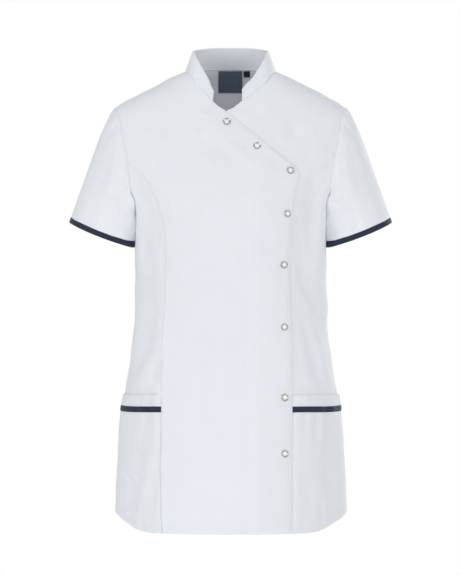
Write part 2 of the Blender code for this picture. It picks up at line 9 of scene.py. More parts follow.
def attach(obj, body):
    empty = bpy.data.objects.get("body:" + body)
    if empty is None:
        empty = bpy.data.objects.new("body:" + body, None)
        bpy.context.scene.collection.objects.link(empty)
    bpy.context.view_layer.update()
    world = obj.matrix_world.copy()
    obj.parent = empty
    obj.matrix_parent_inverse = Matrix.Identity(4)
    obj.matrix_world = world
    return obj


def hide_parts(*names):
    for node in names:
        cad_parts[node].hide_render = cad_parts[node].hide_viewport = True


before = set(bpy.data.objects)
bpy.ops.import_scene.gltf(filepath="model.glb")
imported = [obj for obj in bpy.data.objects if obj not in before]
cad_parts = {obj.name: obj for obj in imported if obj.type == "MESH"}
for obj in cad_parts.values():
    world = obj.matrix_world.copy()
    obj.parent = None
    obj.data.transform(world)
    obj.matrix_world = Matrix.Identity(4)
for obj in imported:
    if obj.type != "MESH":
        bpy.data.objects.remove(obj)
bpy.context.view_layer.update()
print("frame loaded,", len(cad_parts), "nodes")


def addObject(name, data, place=(0, 0, 0), turn=(0, 0, 0)):
    added = bpy.data.objects.new(name, data)
    added.location = place
    added.rotation_euler = turn
    bpy.context.scene.collection.objects.link(added)
    return added


def meshFrom(bm, name, materials=(), smooth=True):
    mesh = bpy.data.meshes.new(name)
    bm.to_mesh(mesh)
    bm.free()
    for material in materials:
        mesh.materials.append(material)
    if smooth:
        mesh.shade_smooth()
    return mesh


def addPiece(name, bm, materials, nodes=()):
    added = addObject(name, meshFrom(bm, name, materials))
    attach(added, "root")
    if nodes:
        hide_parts(*nodes)
    return added


# shader nodes


class Wire:  # a socket that Python's operators work on
    def __init__(self, recipe, socket):
        self.recipe, self.socket = recipe, socket

    def math(self, operation, first, second):
        return self.recipe.node("ShaderNodeMath", {"operation": operation}, {0: first, 1: second})

    def __add__(self, other):
        return self.math("ADD", self, other)

    def __radd__(self, other):
        return self.math("ADD", other, self)

    def __mul__(self, other):
        return self.math("MULTIPLY", self, other)

    def __rmul__(self, other):
        return self.math("MULTIPLY", other, self)

    def sine(self):
        return self.math("SINE", self, 0.0)


class Recipe:  # the nodes of a material or a world
    def __init__(self, owner):
        owner.use_nodes = True
        self.owner, self.tree = owner, owner.node_tree

    def node(self, kind, settings=None, sockets=None, output=0):
        added = self.tree.nodes.new(kind)
        for key, value in (settings or {}).items():
            setattr(added, key, value)
        self.fill(added, sockets or {})
        return Wire(self, added.outputs[output])

    def fill(self, node, sockets):
        for key, value in sockets.items():
            if isinstance(value, Wire):
                self.tree.links.new(value.socket, node.inputs[key])
            else:
                node.inputs[key].default_value = value

    def mixed(self, share, dark, light):  # a Mix node's colours are its inputs 6 and 7
        sockets = {0: share, 6: (*dark, 1.0), 7: (*light, 1.0)}
        return self.node("ShaderNodeMix", {"data_type": "RGBA"}, sockets, 2)

    def bump(self, height, strength, distance):
        sockets = {"Height": height, "Strength": strength, "Distance": distance}
        return self.node("ShaderNodeBump", None, sockets)

    def shaded(self, sockets):  # the finished material
        self.fill(self.tree.nodes["Principled BSDF"], sockets)
        return self.owner


# camera and light

camera = {"place": (-0.001, -4.0, -0.345), "lens": 104.35, "sensor": 24.0}
light = {
    "world": 0.53, "worldColour": (0.975, 0.981, 1.0, 1.0), "backdrop": 1.0,
    "backdropColour": (1.0, 1.0, 1.0, 1.0), "aim": (0.0, 0.0, -0.35),
    "lamps": {  # place, size and power
        "key": ((-3.0, -2.7, 0.4), 2.3, 55.0), "fill": ((3.0, -2.8, 0.3), 2.3, 46.0),
        "front": ((0.1, -3.6, 0.3), 1.2, 13.0), "back": ((1.9, 3.0, 0.7), 1.6, 46.0),
    },
}


def addCamera():
    data = bpy.data.cameras.new("camera")
    data.sensor_fit = "VERTICAL"
    data.sensor_height = camera["sensor"]
    data.lens = camera["lens"]
    bpy.context.scene.camera = addObject("camera", data, camera["place"], (math.pi / 2, 0, 0))


def addLamp(name, place, size, power):
    lamp = bpy.data.lights.new(name, "AREA")
    lamp.shape = "DISK"
    lamp.size = size
    lamp.energy = power
    addObject(name, lamp, place, (Vector(light["aim"]) - Vector(place)).to_track_quat("-Z", "Y").to_euler())


def addWorld():
    # the cloth is lit a little blue, and the camera sees white behind it
    recipe = Recipe(bpy.data.worlds.new("studio"))
    soft, seen = (
        recipe.node("ShaderNodeBackground", None, {"Color": light[f"{name}Colour"], "Strength": light[name]})
        for name in ("world", "backdrop")
    )
    cameraRay = recipe.node("ShaderNodeLightPath")
    mixed = recipe.node("ShaderNodeMixShader", None, {0: cameraRay, 1: soft, 2: seen})
    recipe.fill(recipe.tree.nodes["World Output"], {"Surface": mixed})
    bpy.context.scene.world = recipe.owner


addCamera()
addWorld()
for name, lamp in light["lamps"].items():
    addLamp(name, *lamp)
bpy.context.scene.view_settings.view_transform = "Standard"
print("camera and lights placed")

# materials

# in each look, the weave's share of the colour is painted shade: it darkens the valleys of the weave bump
whiteLook = {
    "yarn": 0.0009, "twill": False, "slub": 420.0, "blotch": 22.0, "weaveValleyShade": 0.35, "slubTone": 0.4,
    "blotchTone": 0.35, "dark": (0.735, 0.762, 0.80), "light": (0.80, 0.823, 0.858), "rough": 0.78,
    "sheen": 0.08, "specular": 0.25, "bump": 0.22, "bumpHeight": 0.0002, "through": 0.5,
}
navyLook = {
    "yarn": 0.0010, "twill": True, "slub": 500.0, "blotch": 40.0, "weaveValleyShade": 0.5, "slubTone": 0.35,
    "blotchTone": 0.2, "dark": (0.007, 0.012, 0.028), "light": (0.020, 0.033, 0.066), "rough": 0.72,
    "sheen": 0.12, "specular": 0.3, "bump": 0.35, "bumpHeight": 0.0002, "through": 0.0,
}
labelLook = {
    "yarn": 0.0007, "twill": True, "slub": 700.0, "blotch": 90.0, "weaveValleyShade": 0.45, "slubTone": 0.3,
    "blotchTone": 0.25, "dark": (0.072, 0.098, 0.140), "light": (0.128, 0.165, 0.222), "rough": 0.5,
    "sheen": 0.05, "specular": 0.5, "bump": 0.25, "bumpHeight": 0.00015, "through": 0.0,
}
backingLook = dict(labelLook, dark=(0.42, 0.46, 0.52), light=(0.60, 0.63, 0.68))
tabLook = dict(labelLook, twill=False, weaveValleyShade=0.5, blotchTone=0.2, dark=(0.005, 0.005, 0.006),
               light=(0.016, 0.016, 0.019), rough=0.6, specular=0.4, bump=0.3)
threadLook = dict(labelLook, yarn=0.0006, slub=900.0, blotch=60.0, weaveValleyShade=0.4, blotchTone=0.3,
                  dark=(0.74, 0.765, 0.80), light=(0.83, 0.85, 0.88), rough=0.6, sheen=0.1, specular=0.4)
metalLook = {
    "grain": {"Scale": 900.0, "Detail": 3.0}, "dark": (0.40, 0.385, 0.35), "light": (0.60, 0.58, 0.53),
    "metallic": 1.0, "roughGrain": 0.14, "coat": 0.0, "bump": 0.1,
}
pearlLook = {
    "grain": {"Scale": 260.0, "Detail": 4.0, "Distortion": 1.2}, "dark": (0.70, 0.72, 0.76),
    "light": (0.93, 0.94, 0.95), "metallic": 0.0, "roughGrain": 0.1, "coat": 0.6, "bump": 0.08,
}


def wovenMaterial(name, look):
    recipe = Recipe(bpy.data.materials.new(name))
    place = recipe.node("ShaderNodeUVMap", {"uv_map": "UVMap"})
    u = recipe.node("ShaderNodeSeparateXYZ", None, {0: place})
    v = Wire(recipe, u.socket.node.outputs[1])
    turn = 2 * math.pi / look["yarn"]
    if look["twill"]:  # diagonal ribs
        weave = ((u + v) * turn).sine() * 0.7 + (u * turn * 2).sine() * 0.3
    else:
        weave = (u * turn).sine() * (v * turn).sine()
    slub, blotch = (
        recipe.node("ShaderNodeTexNoise", {"noise_dimensions": "2D"},
                    {"Vector": place, "Scale": look[size], "Detail": detail, "Roughness": rough})
        for size, detail, rough in (("slub", 3.0, 0.6), ("blotch", 2.0, 0.5))
    )
    # painted shade: the weave term darkens the colour where the weave bump is low, in the weave's valleys;
    # slub and blotch vary the tone
    shade = (weave * 0.5 + 0.5) * look["weaveValleyShade"] + slub * look["slubTone"] + blotch * look["blotchTone"]
    return recipe.shaded({
        "Base Color": recipe.mixed(shade, look["dark"], look["light"]),
        "Roughness": look["rough"] + slub * 0.08,
        "Sheen Weight": look["sheen"], "Sheen Roughness": 0.5, "Specular IOR Level": look["specular"],
        "Subsurface Weight": look["through"],  # light that passes thin cloth
        "Subsurface Radius": (1.0, 1.0, 1.0), "Subsurface Scale": 0.002,
        "Normal": recipe.bump(weave * 0.6 + slub * 0.8, look["bump"], look["bumpHeight"]),
    })


def hardMaterial(name, look):
    recipe = Recipe(bpy.data.materials.new(name))
    place = recipe.node("ShaderNodeTexCoord", None, None, 3)  # Object coordinates
    grain = recipe.node("ShaderNodeTexNoise", None, {"Vector": place, **look["grain"]})
    return recipe.shaded({
        "Base Color": recipe.mixed(grain, look["dark"], look["light"]), "Metallic": look["metallic"],
        "Roughness": 0.16 + grain * look["roughGrain"], "Coat Weight": look["coat"], "Coat Roughness": 0.08,
        "Normal": recipe.bump(grain, look["bump"], 0.0001),
    })


whiteCloth = wovenMaterial("white cloth", whiteLook)
navyCloth = wovenMaterial("navy cloth", navyLook)
whiteThread = wovenMaterial("white thread", threadLook)
labelCloth = wovenMaterial("label cloth", labelLook)
labelBacking = wovenMaterial("label backing", backingLook)
tabCloth = wovenMaterial("tab cloth", tabLook)
snapMetal = hardMaterial("snap metal", metalLook)
snapPearl = hardMaterial("snap pearl", pearlLook)
print("materials made")

# the worn form, as the solids have it

mm = 0.001
cloth = {"wall": 0.0015, "collar": 0.0020, "binding": 0.0021, "gap": 0.0003}
ringPower = 2.3
sideAngle = math.pi / 2
levels = np.array((  # height, half width, depth in front and depth behind, in mm
    (15, 54, 42, 56), (9, 63, 44, 59.5), (0, 72.6, 46.5, 64), (-6.7, 88.7, 48.5, 69),
    (-25.9, 125.6, 54.5, 80), (-40.3, 154.4, 59, 87), (-54.7, 179.5, 63.5, 93), (-65, 193, 67.2, 96.5),
    (-80, 201, 73, 101), (-100, 204, 81, 106), (-120, 202, 89, 110.5), (-148, 193.5, 100.5, 115.5),
    (-170, 181.5, 109, 118.5), (-200, 165, 119, 120.5), (-217, 157.5, 123, 120.5), (-250, 153.4, 127, 119),
    (-300, 152.5, 124, 114), (-350, 152.4, 119, 109.5), (-390, 153, 115.5, 108), (-415, 155, 114.5, 108.5),
    (-440, 158.4, 114.8, 110), (-483.6, 165, 117, 114), (-522, 170.8, 119.5, 118), (-600, 177.6, 125, 124),
    (-650, 180.8, 128, 127.5), (-700, 182.8, 130, 130), (-750, 183, 131, 131),
)) * mm
hem = {"height": -0.7275, "sideRise": 0.025, "curve": (math.radians(37), math.radians(85)), "fadeTop": -0.600}
armholeLine = {"tip": -0.058, "low": -0.217,
               "cuts": ((0, 0.0), (25, 24.0), (52, 34.0), (90, 36.0), (115, 29.5), (138, 20.0), (180, 0.0))}
neckPoints = np.array((  # degrees round the neck, and the height and the collar's rise and lean in mm
    (-7.1, -51.9, 15.4, 5), (-14, -35.5, 19.5, 10), (-23.8, -23.1, 23.5, 12.5), (-38.6, -10, 25, 12.5),
    (-64.4, -2, 31, 12.5), (-90, 0, 34, 12.1), (-128.4, 4, 35, 12), (-150, 7.5, 34, 11.8),
    (-180, 9, 33, 11.5), (-210, 7.5, 34, 11.8), (-231.6, 4, 35, 12), (-270, 0, 34, 12.1),
    (-295.6, -2, 31, 12.5), (-321.4, -10, 25, 12.5), (-336.2, -23.1, 23.5, 12.5), (-346, -34.8, 20, 11),
    (-352.6, -44.8, 19.5, 8), (-355.7, -51.4, 18, 4),
)) * (1, mm, mm, mm)
princessPoints = np.array((  # across and height, in mm
    (-106.5, -727.5), (-108.4, -695.9), (-110.1, -640.2), (-108.2, -525.2), (-108.2, -469.1),
    (-105.5, -411.3), (-102.3, -331.8), (-102.1, -271.1), (-104.5, -247.7), (-110.1, -227.4),
    (-116.4, -208.5), (-126.1, -186.3), (-137.4, -170.2), (-150.3, -158.7), (-160.6, -148),
)) * mm
lap = {
    "edge": np.array((  # across and height, in mm
        (94.5, -727.5), (95.9, -524.9), (96.4, -458), (94.8, -411.2), (91.9, -331.3), (91.8, -302.2),
        (93.5, -261.7), (96.2, -234), (100.7, -205.9), (105.2, -183.1),
    )) * mm,
    "corner": ((0.1066, -0.1725), (0.1070, -0.1673), (0.1055, -0.1620)),
    "slantTop": (-0.0073, -0.0674), "slantFoot": (0.1027, -0.1584),
    "cornerFrom": (-0.182, -0.177), "cornerTo": 0.12,  # heights on the edge, and a share of the slant
    "lift": 0.0028, "ease": 0.022, "full": 0.006, "curl": 0.0011, "curlReach": 0.011,
    "underAcross": 0.045, "underCorner": (0.045, -0.152), "underTip": (-0.0277, -0.0920),
    "underNeck": (-0.0277, -0.0801),
}


def smoothCurve(places, values, rounded=False):
    # a curve through the values, which doesn't overshoot them unless it is rounded
    places, values = np.array(places, float), np.array(values, float)
    steps = np.diff(places)
    rises = np.diff(values) / steps
    before, after = rises[:-1], rises[1:]
    slopes = np.concatenate((rises[:1], np.zeros(len(before)), rises[-1:]))
    if rounded:
        slopes[1:-1] = (steps[1:] * before + steps[:-1] * after) / (steps[1:] + steps[:-1])
    else:
        same = before * after > 0
        slopes[1:-1][same] = 2 * before[same] * after[same] / (before[same] + after[same])

    def valueAt(place):
        place = np.clip(place, places[0], places[-1])
        i = np.clip(np.searchsorted(places, place, "right") - 1, 0, len(steps) - 1)
        t = (place - places[i]) / steps[i]
        start = (1 + 2 * t) * (1 - t) ** 2 * values[i] + t * (1 - t) ** 2 * steps[i] * slopes[i]
        return start + t * t * (3 - 2 * t) * values[i + 1] - t * t * (1 - t) * steps[i] * slopes[i + 1]

    return valueAt


def column(rows, key, field, rounded=False):
    rows = sorted(rows, key=lambda row: row[key])
    return smoothCurve([row[key] for row in rows], [row[field] for row in rows], rounded)


def curvesThrough(points):
    points = np.array(points, float)
    places = np.arange(len(points), dtype=float)
    return [smoothCurve(places, points[:, k], True) for k in (0, 1)]


# the rings are squarer beside the underarm
frontPower = smoothCurve([-0.35, -0.27, -0.21, -0.12], [ringPower, 3.3, 3.2, ringPower])
halfWidth, frontDepth, backDepth = (column(levels, 0, field, True) for field in (1, 2, 3))
neckHeight, neckRise, neckLean = (column(neckPoints, 0, field) for field in (1, 2, 3))
princessAcross = column(princessPoints, 1, 0)
lapAcross = column(lap["edge"], 1, 0)
armholeCut = column(armholeLine["cuts"], 0, 1)
ringBlend = (0.80, 0.97)  # how near the side a ring turns square


def ease(value, low, high):
    t = np.clip((value - low) / (high - low), 0.0, 1.0)
    return t * t * (3 - 2 * t)


def lerp(a, b, t):
    return a + (b - a) * t


def straight(start, end):
    # the places between two pairs, by the share of the way
    return lambda share: tuple(lerp(a, b, share) for a, b in zip(start, end))


def unit(vectors):
    return vectors / np.maximum(np.linalg.norm(vectors, axis=-1, keepdims=True), 1e-12)


def ringPoint(angle, height):
    # the form's surface, by the angle from the middle of the front and the height
    c, s = np.cos(angle), np.sin(angle)
    depth = np.where(c > 0, frontDepth(height), backDepth(height))
    power = np.where(c > 0, frontPower(height), ringPower)
    share = np.abs(s) ** (2 / ringPower)
    square = np.maximum(1 - share**power, 0) ** (1 / power)
    y = -depth * np.sign(c) * lerp(np.abs(c) ** (2 / ringPower), square, ease(share, *ringBlend))
    return np.stack((halfWidth(height) * np.sign(s) * share, y, height + 0 * angle), -1)


def ringNormal(angle, height, turn=0.01, rise=0.001):
    # from the places a little to each side
    across = ringPoint(angle + turn, height) - ringPoint(angle - turn, height)
    up = ringPoint(angle, height + rise) - ringPoint(angle, height - rise)
    return unit(np.cross(across, up))


def frontAngle(across, height):
    share = np.minimum(np.abs(across) / halfWidth(height), 1.0)
    return np.sign(across) * np.arcsin(share ** (ringPower / 2))


def hemDrop(angle, height):
    fromMiddle = np.abs((angle + sideAngle) % math.pi - sideAngle)
    rise = hem["sideRise"] * ease(fromMiddle, *hem["curve"])
    return rise * (1 - ease(height, hem["height"], hem["fadeTop"]))


def armhole(turn):
    # how far an armhole is cut in from the side, and its height, by the turn round it from the tip
    turn = turn % (2 * math.pi)
    middle = (armholeLine["tip"] + armholeLine["low"]) / 2
    half = (armholeLine["tip"] - armholeLine["low"]) / 2
    cut = np.radians(armholeCut(np.degrees(math.pi - np.abs(math.pi - turn))))
    return np.where(turn > math.pi, -cut, cut), middle + half * np.cos(turn)


def seamAngle(height, depth):
    power = frontPower(height) if depth is frontDepth else ringPower
    return sideAngle - np.sqrt(ringPower / power) * (cloth["gap"] / 2 / depth(height)) ** (power / 2)


# folds: points along one, its width and depth in mm, a ridge beside it, and how deep it starts and ends


def foldsOf(rows, scale):
    return [(np.array(points) * scale, width * mm, depth * mm, *rest) for points, width, depth, *rest in rows]


bodyFolds = {
    "front": foldsOf((
        (((-128, -360), (-127.5, -396), (-133, -434), (-144.7, -455.8), (-160, -484),
          (-166, -512)), 11, 5.8, 0.45, 0.3, 0.3),
        (((-147.2, -190), (-142.5, -243.6)), 10.2, 1.8, 0.5, 0.2, 0.2),
        (((-141, -240), (-136, -280), (-124, -330)), 8.5, 4.3, 0.5, 0.2, 0.2),
        (((-112.6, -452), (-116, -474), (-125, -500)), 6.8, 3.4, 0.6, 0.2, 0.3),
        (((-137, -588), (-142, -635), (-155.5, -688), (-159, -712)), 7.6, 4.3, 0.6, 0.2, 0.5),
        (((-125.7, -512), (-126.2, -596)), 5.5, 2.5, 0.6, 0.6, 0.1),
        (((-157, -702), (-147.6, -716.5)), 4.3, 1.3, 0.6, 0.2, 0.4),
        (((-144, -520), (-148, -566)), 5.1, 1.6, 0.5, 0.6, 0.1),
        (((105.1, -236.6), (111.3, -305.2), (113.7, -327), (123.8, -350.5), (135.7, -380), (145.6, -413),
          (152, -440)), 9.3, 5.6, 0.5, 0.3, 0.2),
        (((113.7, -398.8), (125.4, -437.8), (135.7, -475.3), (144.1, -503.3)), 8.5, 4.5, 0.55, 0.2, 0.3),
        (((132, -165), (130.5, -184.8), (126, -245)), 8.5, 3.4, 0.5, 0.2, 0.2),
        (((152, -545), (154.5, -620), (159, -716)), 10.2, 4, 0.55, 0.2, 0.7),
        (((121.5, -186), (122.2, -232), (120, -272)), 7.6, 2.7, 0.6, 0.2, 0.2),
        (((149, -512), (150, -560)), 5.1, 1.8, 0.6, 0.7, 0.1),
        (((165, -512), (164, -545)), 4.3, 1.3, 0.5, 0.7, 0.1),
        (((118, -640), (124, -700)), 8.5, 1.3, 0.5, 0.2, 0.3),
        (((-112, -130), (-118, -170)), 5.9, 1, 0.6, 0.2, 0.1),
        (((-124, -142), (-112, -164)), 5.1, 0.9, 0.6, 0.1, 0.2),
        (((-118, -60), (-98, -120)), 13.6, 1.8, 0.5, 0.2, 0.2),
        (((96, -60), (96.5, -118)), 9.3, 1.3, 0.5, 0.2, 0.2),
        (((-114, -586), (-102, -588.5)), 3, 1.4, 0.5, 0.3, 0.2),
        (((-115, -596), (-101, -597)), 2.8, 1.1, 0.5, 0.3, 0.2),
        (((-112, -579), (-103, -578)), 2.6, 1, 0.5, 0.3, 0.2),
        (((-115, -636), (-103, -642)), 3, 1.1, 0.5, 0.3, 0.2),
        (((-169, -630), (-156, -648), (-150, -670)), 5, 2.6, 0.5, 0.3, 0.1),
        (((-132, -548), (-134, -585)), 4.2, 2.2, 0.6, 0.8, 0.1),
        (((-118.5, -650), (-121, -700)), 4.5, 1.9, 0.5, 0.1, 0.4),
        (((-174, -692), (-165, -700)), 3.5, 1.6, 0.6, 0.2, 0.4),
        (((-170, -704), (-162, -710)), 3.2, 1.6, 0.6, 0.2, 0.4),
        (((-136, -708), (-133, -723)), 3.5, 1.6, 0.6, 0.2, 0.6),
        (((134, -545), (132, -590)), 4.2, 2.1, 0.6, 0.8, 0.1),
        (((114, -545), (115, -575)), 3.8, 1.6, 0.6, 0.8, 0.1),
        (((174, -690), (165, -701)), 3.5, 1.6, 0.6, 0.2, 0.4),
        (((138, -670), (144, -715)), 6, 2.6, 0.5, 0.1, 0.5),
    ), mm),
    "back": foldsOf((
        (((-118, -285), (-95, -362), (-52, -450)), 16, 6.2, 0.4, 0.2, 0.2),
        (((122, -305), (96, -365), (42, -436)), 12.7, 5.8, 0.45, 0.2, 0.2),
        (((-78, -388), (0, -404), (72, -404)), 18, 4.5, 0.3, 0.2, 0.2),
        (((98, -500), (108, -600), (112, -712)), 14.5, 5.8, 0.45, 0.2, 0.7),
        (((-88, -540), (-99, -630), (-105, -712)), 14.5, 5.4, 0.45, 0.2, 0.7),
        (((-130, -110), (-109, -200), (-104, -300)), 12.7, 4.5, 0.45, 0.2, 0.2),
        (((128, -120), (110, -200), (106, -280)), 12.7, 4, 0.45, 0.2, 0.2),
        (((30, -80), (34, -180), (22, -260)), 13.6, 1.5, 0.5, 0.2, 0.2),
        (((-20, -330), (46, -352)), 7.6, 2, 0.5, 0.2, 0.2),
        (((-128, -452), (-80, -486)), 8.5, 2.2, 0.5, 0.2, 0.2),
        (((10, -560), (16, -712)), 15.3, 2.5, 0.5, 0.2, 0.6),
    ), mm),
}
foldLook = {"points": 14, "reach": 0.05, "fade": 0.035, "startShare": 0.35, "endShare": 0.65,
            "ridgeAside": 1.7, "ridgeWidth": 1.1}
waves = (  # depth in mm, how quickly one comes round across and up, and its start
    (0.33, 61, 23, 0.7), (0.27, -34, 88, 2.1), (0.21, 137, 71, 4.0), (0.15, 97, 190, 1.3),
)


def pressed(folds, x, y):
    # how far the folds press a surface in at plane places x, y
    total = np.zeros(x.shape)
    reach = foldLook["reach"]
    for points, width, depth, ridge, startDepth, endDepth in folds:
        stops = np.linspace(0, len(points) - 1, foldLook["points"])
        line = np.stack([curve(stops) for curve in curvesThrough(points)], -1)
        low, high = line.min(0) - reach, line.max(0) + reach
        near = (x > low[0]) & (x < high[0]) & (y > low[1]) & (y < high[1])
        if not near.any():
            continue
        place = np.stack((x[near], y[near]), -1)[:, None]
        starts, runs = line[:-1], np.diff(line, axis=0)
        t = np.clip(((place - starts) * runs).sum(-1) / (runs**2).sum(-1), 0, 1)
        away = place - (starts + runs * t[..., None])
        distance = np.hypot(away[..., 0], away[..., 1])
        best = distance.argmin(1)
        rows = np.arange(len(best))
        side = np.sign(runs[best, 0] * away[rows, best, 1] - runs[best, 1] * away[rows, best, 0])
        share = (best + t[rows, best]) / len(runs)
        along = lerp(startDepth, 1.0, ease(share, 0, foldLook["startShare"]))
        along = along * lerp(1.0, endDepth, ease(share, foldLook["endShare"], 1.0))
        gap = distance[rows, best]
        beside = gap * side - foldLook["ridgeAside"] * width
        crest = ridge * np.exp(-((beside / (foldLook["ridgeWidth"] * width)) ** 2))
        shape = np.exp(-((gap / width) ** 2)) - crest
        total[near] += depth * along * shape * (1 - ease(gap, foldLook["fade"], reach))
    return total


def bodyDent(front, x, z):
    # how far the body's folds press it in, where front says which side faces front
    dent = np.zeros(x.shape)
    for face, facing in (("front", front), ("back", ~front)):
        dent[facing] = pressed(bodyFolds[face], x[facing], z[facing])
    return dent


def ripples(x, y):
    # the slow unevenness of cloth that was washed and worn
    return sum(depth * mm * np.sin(x * across + y * up + start) for depth, across, up, start in waves)


def bodyRipples(front, x, z, backStart=0.4):
    # the back takes the waves from another place
    return ripples(np.where(front, x, backStart - x), z)


def underlapDepth(across, height):
    # how far a place lies inside the underlap
    def beside(start, end):
        run = (end[0] - start[0], end[1] - start[1])
        return ((height - start[1]) * run[0] - (across - start[0]) * run[1]) / math.hypot(*run)

    above = beside(lap["underTip"], lap["underCorner"])
    below = -beside(lap["underNeck"], lap["slantTop"])
    inside = np.minimum(np.minimum(above, across - lap["underTip"][0]), below)
    return np.maximum(across - lap["underAcross"], inside)


def lapLift(angle, height):
    across = ringPoint(angle, height)[..., 0]
    return lap["lift"] * ease(underlapDepth(across, height), -lap["ease"], -lap["full"])


# sheets of cloth

# places in from each kind of edge, and how far the cloth dips there, in mm
edges = {name: np.array(rows) * mm for name, rows in {
    "seam": ((-0.6, 1.3), (0, 0.6), (0.3, 0.4), (0.8, 0.2), (1.6, 0.05), (2.8, 0)),
    "armhole": ((-1.2, 1.2), (-0.3, 0.5), (0.2, 0.3), (0.8, 0.1), (1.6, 0), (2.8, 0)),
    "neck": ((-1.6, 1.2), (-0.6, 0.5), (-0.2, 0.2), (0.4, 0.1), (1.2, 0), (2.8, 0)),
    "sleeve seam": ((-2, 1.6), (-0.6, 0.8), (0, 0.5), (0.6, 0.2), (1.4, 0), (2.8, 0)),
    "fold": ((0, 0.7), (0.3, 0.3), (1, 0.05), (1.8, 0), (2.6, 0.2), (3.5, 0)),
    "plain": ((0, 0.4), (0.2, 0.1), (0.6, 0), (1.2, 0), (2, 0), (3, 0)),
}.items()}
edgeShare = 0.42  # the most of a sheet's width that an edge takes
sheetLook = {"wall": 0.0009, "thinWall": 0.0012, "bevel": 0.00025, "rowStep": 0.0034, "columnStep": 0.0034,
             "borderWeight": 0.6, "pucker": 0.00022, "puckerReach": 0.006, "puckerLength": 0.0105,
             "puckerUneven": (1.6, 47), "puckerSlow": 31}


def sampleBorder(stretches, fine=10):
    # angles and heights along a border, and marks that count its stations
    stations = [(stretch, value) for stretch in stretches for value in stretch[1]]
    share = np.arange(fine) / fine
    spans = []
    for k, ((stretch, value), (following, nextValue)) in enumerate(zip(stations, stations[1:])):
        if stretch is following:
            angle, height = stretch[0](lerp(value, nextValue, share))
        else:
            angle, height = straight(stretch[0](value), following[0](nextValue))(share)
        spans.append((angle + 0 * share, height + 0 * share, k + share))
    stretch, value = stations[-1]
    angle, height = stretch[0](value)
    spans.append((angle + np.zeros(1), height + np.zeros(1), np.array([len(stations) - 1.0])))
    return [np.concatenate(values) for values in zip(*spans)]


def pathLength(points):
    return np.concatenate(([0.0], np.cumsum(np.linalg.norm(np.diff(points, axis=0), axis=1))))


def spread(total, step, first, last):
    # places from 0 to total: those near each end by their edge, the rest even
    shrink = min(1.0, edgeShare * total / max(first[-1, 0], last[-1, 0]))
    first, last = first[:, 0] * shrink, last[:, 0] * shrink
    count = max(2, int(round((total - first[-1] - last[-1]) / step)))
    between = np.linspace(first[-1], total - last[-1], count + 1)[1:-1]
    return np.concatenate((first, between, total - last[::-1]))


def edgeTable(marks, border):
    # the edge profile of each row, by the stretch of the border that it is on
    ends = np.cumsum([len(values) for line, values, edge in border]) - 0.5
    return np.array([edges[edge] for line, values, edge in border])[np.searchsorted(ends, marks)]


def lowered(shape, left, right, bottom, top):
    # how far a sheet dips at its four edges, by their profiles
    dip = np.zeros(shape)
    for k in range(6):
        lines = (dip[:, k], left), (dip[:, -1 - k], right), (dip[k], bottom), (dip[-1 - k], top)
        for line, profile in lines:
            if profile is not None:
                np.maximum(line, profile[..., k, 1], out=line)
    return dip


def beyond(places, run, values):
    # a table read at the places, carried on straight past its ends
    start = (places - run[0]) * (values[1] - values[0]) / (run[1] - run[0])
    end = (places - run[-1]) * (values[-1] - values[-2]) / (run[-1] - run[-2])
    past = np.where(places < run[0], start, 0) + np.where(places > run[-1], end, 0)
    return np.interp(places, run, values) + past


def clothGrid(left, right, bottom, top, rowStep=sheetLook["rowStep"]):
    # rows of (angle, height) between two borders, with each place's distances from its edges
    *start, marks = sampleBorder(left)
    *end, _ = sampleBorder(right)
    lines = [ringPoint(*np.mean((start, end), axis=0))]
    lines += [sheetLook["borderWeight"] * ringPoint(*border) for border in (start, end)]
    steps = [np.linalg.norm(np.diff(line, axis=0), axis=1) for line in lines]
    # there are more rows where a border runs far along one height
    run = np.concatenate(([0.0], np.cumsum(np.max(steps, axis=0))))
    bottom, top = edges[bottom], edges[top]
    rows = spread(run[-1], rowStep, bottom, top)
    start, end = ([beyond(rows, run, values) for values in border] for border in (start, end))
    mark = np.interp(rows, run, marks)
    across = ringPoint(*straight(start, end)(np.linspace(0, 1, 9)[:, None]))
    length = np.linalg.norm(np.diff(across, axis=0), axis=2).sum(0)
    leftEdge, rightEdge = edgeTable(mark, left), edgeTable(mark, right)
    room = np.minimum(1.0, edgeShare * length / np.maximum(leftEdge[:, -1, 0], rightEdge[:, -1, 0]))[:, None]
    near, far = leftEdge[..., 0] * room, rightEdge[..., 0] * room
    length = length[:, None]
    count = max(2, int(round(length.max() / sheetLook["columnStep"])))
    between = lerp(near[:, -1:], length - far[:, -1:], np.linspace(0, 1, count + 1)[1:-1])
    fromLeft = np.concatenate((near, between, length - far[:, ::-1]), 1)
    share = fromLeft / length
    angle, height = (lerp(a[:, None], b[:, None], share) for a, b in zip(start, end))
    return {
        "angle": angle, "height": height, "fromLeft": fromLeft, "fromRight": length - fromLeft,
        "fromBottom": rows[:, None] + 0 * share, "fromTop": (rows[-1] - rows)[:, None] + 0 * share,
        "dip": lowered(share.shape, leftEdge, rightEdge, bottom, top), "mark": mark,
    }


def pucker(grid, keys):
    # small gathers beside a seam
    total = 0.0
    for key in keys:
        along = grid["fromBottom"] if key in ("fromLeft", "fromRight") else grid["fromLeft"]
        size, turns = sheetLook["puckerUneven"]
        wave = np.sin(along * 2 * math.pi / sheetLook["puckerLength"] + size * np.sin(along * turns) + 2.0)
        strength = 0.5 + 0.5 * np.sin(along * sheetLook["puckerSlow"] + 1.0)
        total = total + wave * strength * np.exp(-((grid[key] / sheetLook["puckerReach"]) ** 2))
    return sheetLook["pucker"] * total


def settle(grid):
    grid["height"] = grid["height"] + hemDrop(grid["angle"], grid["height"])
    return grid


def layOut(grid, out, puckered=(), rippled=1.0):
    # the outer side of a panel, that far outside the form
    angle, height = grid["angle"], grid["height"]
    place, normal, front = ringPoint(angle, height), ringNormal(angle, height), np.cos(angle) > 0
    across = place[..., 0]
    lift = out - bodyDent(front, across, height) + rippled * bodyRipples(front, across, height)
    lift = lift + pucker(grid, puckered) - grid["dip"]
    grid["points"] = place + normal * lift[..., None]
    grid["normals"] = surfaceNormals(grid["points"], normal)
    return grid


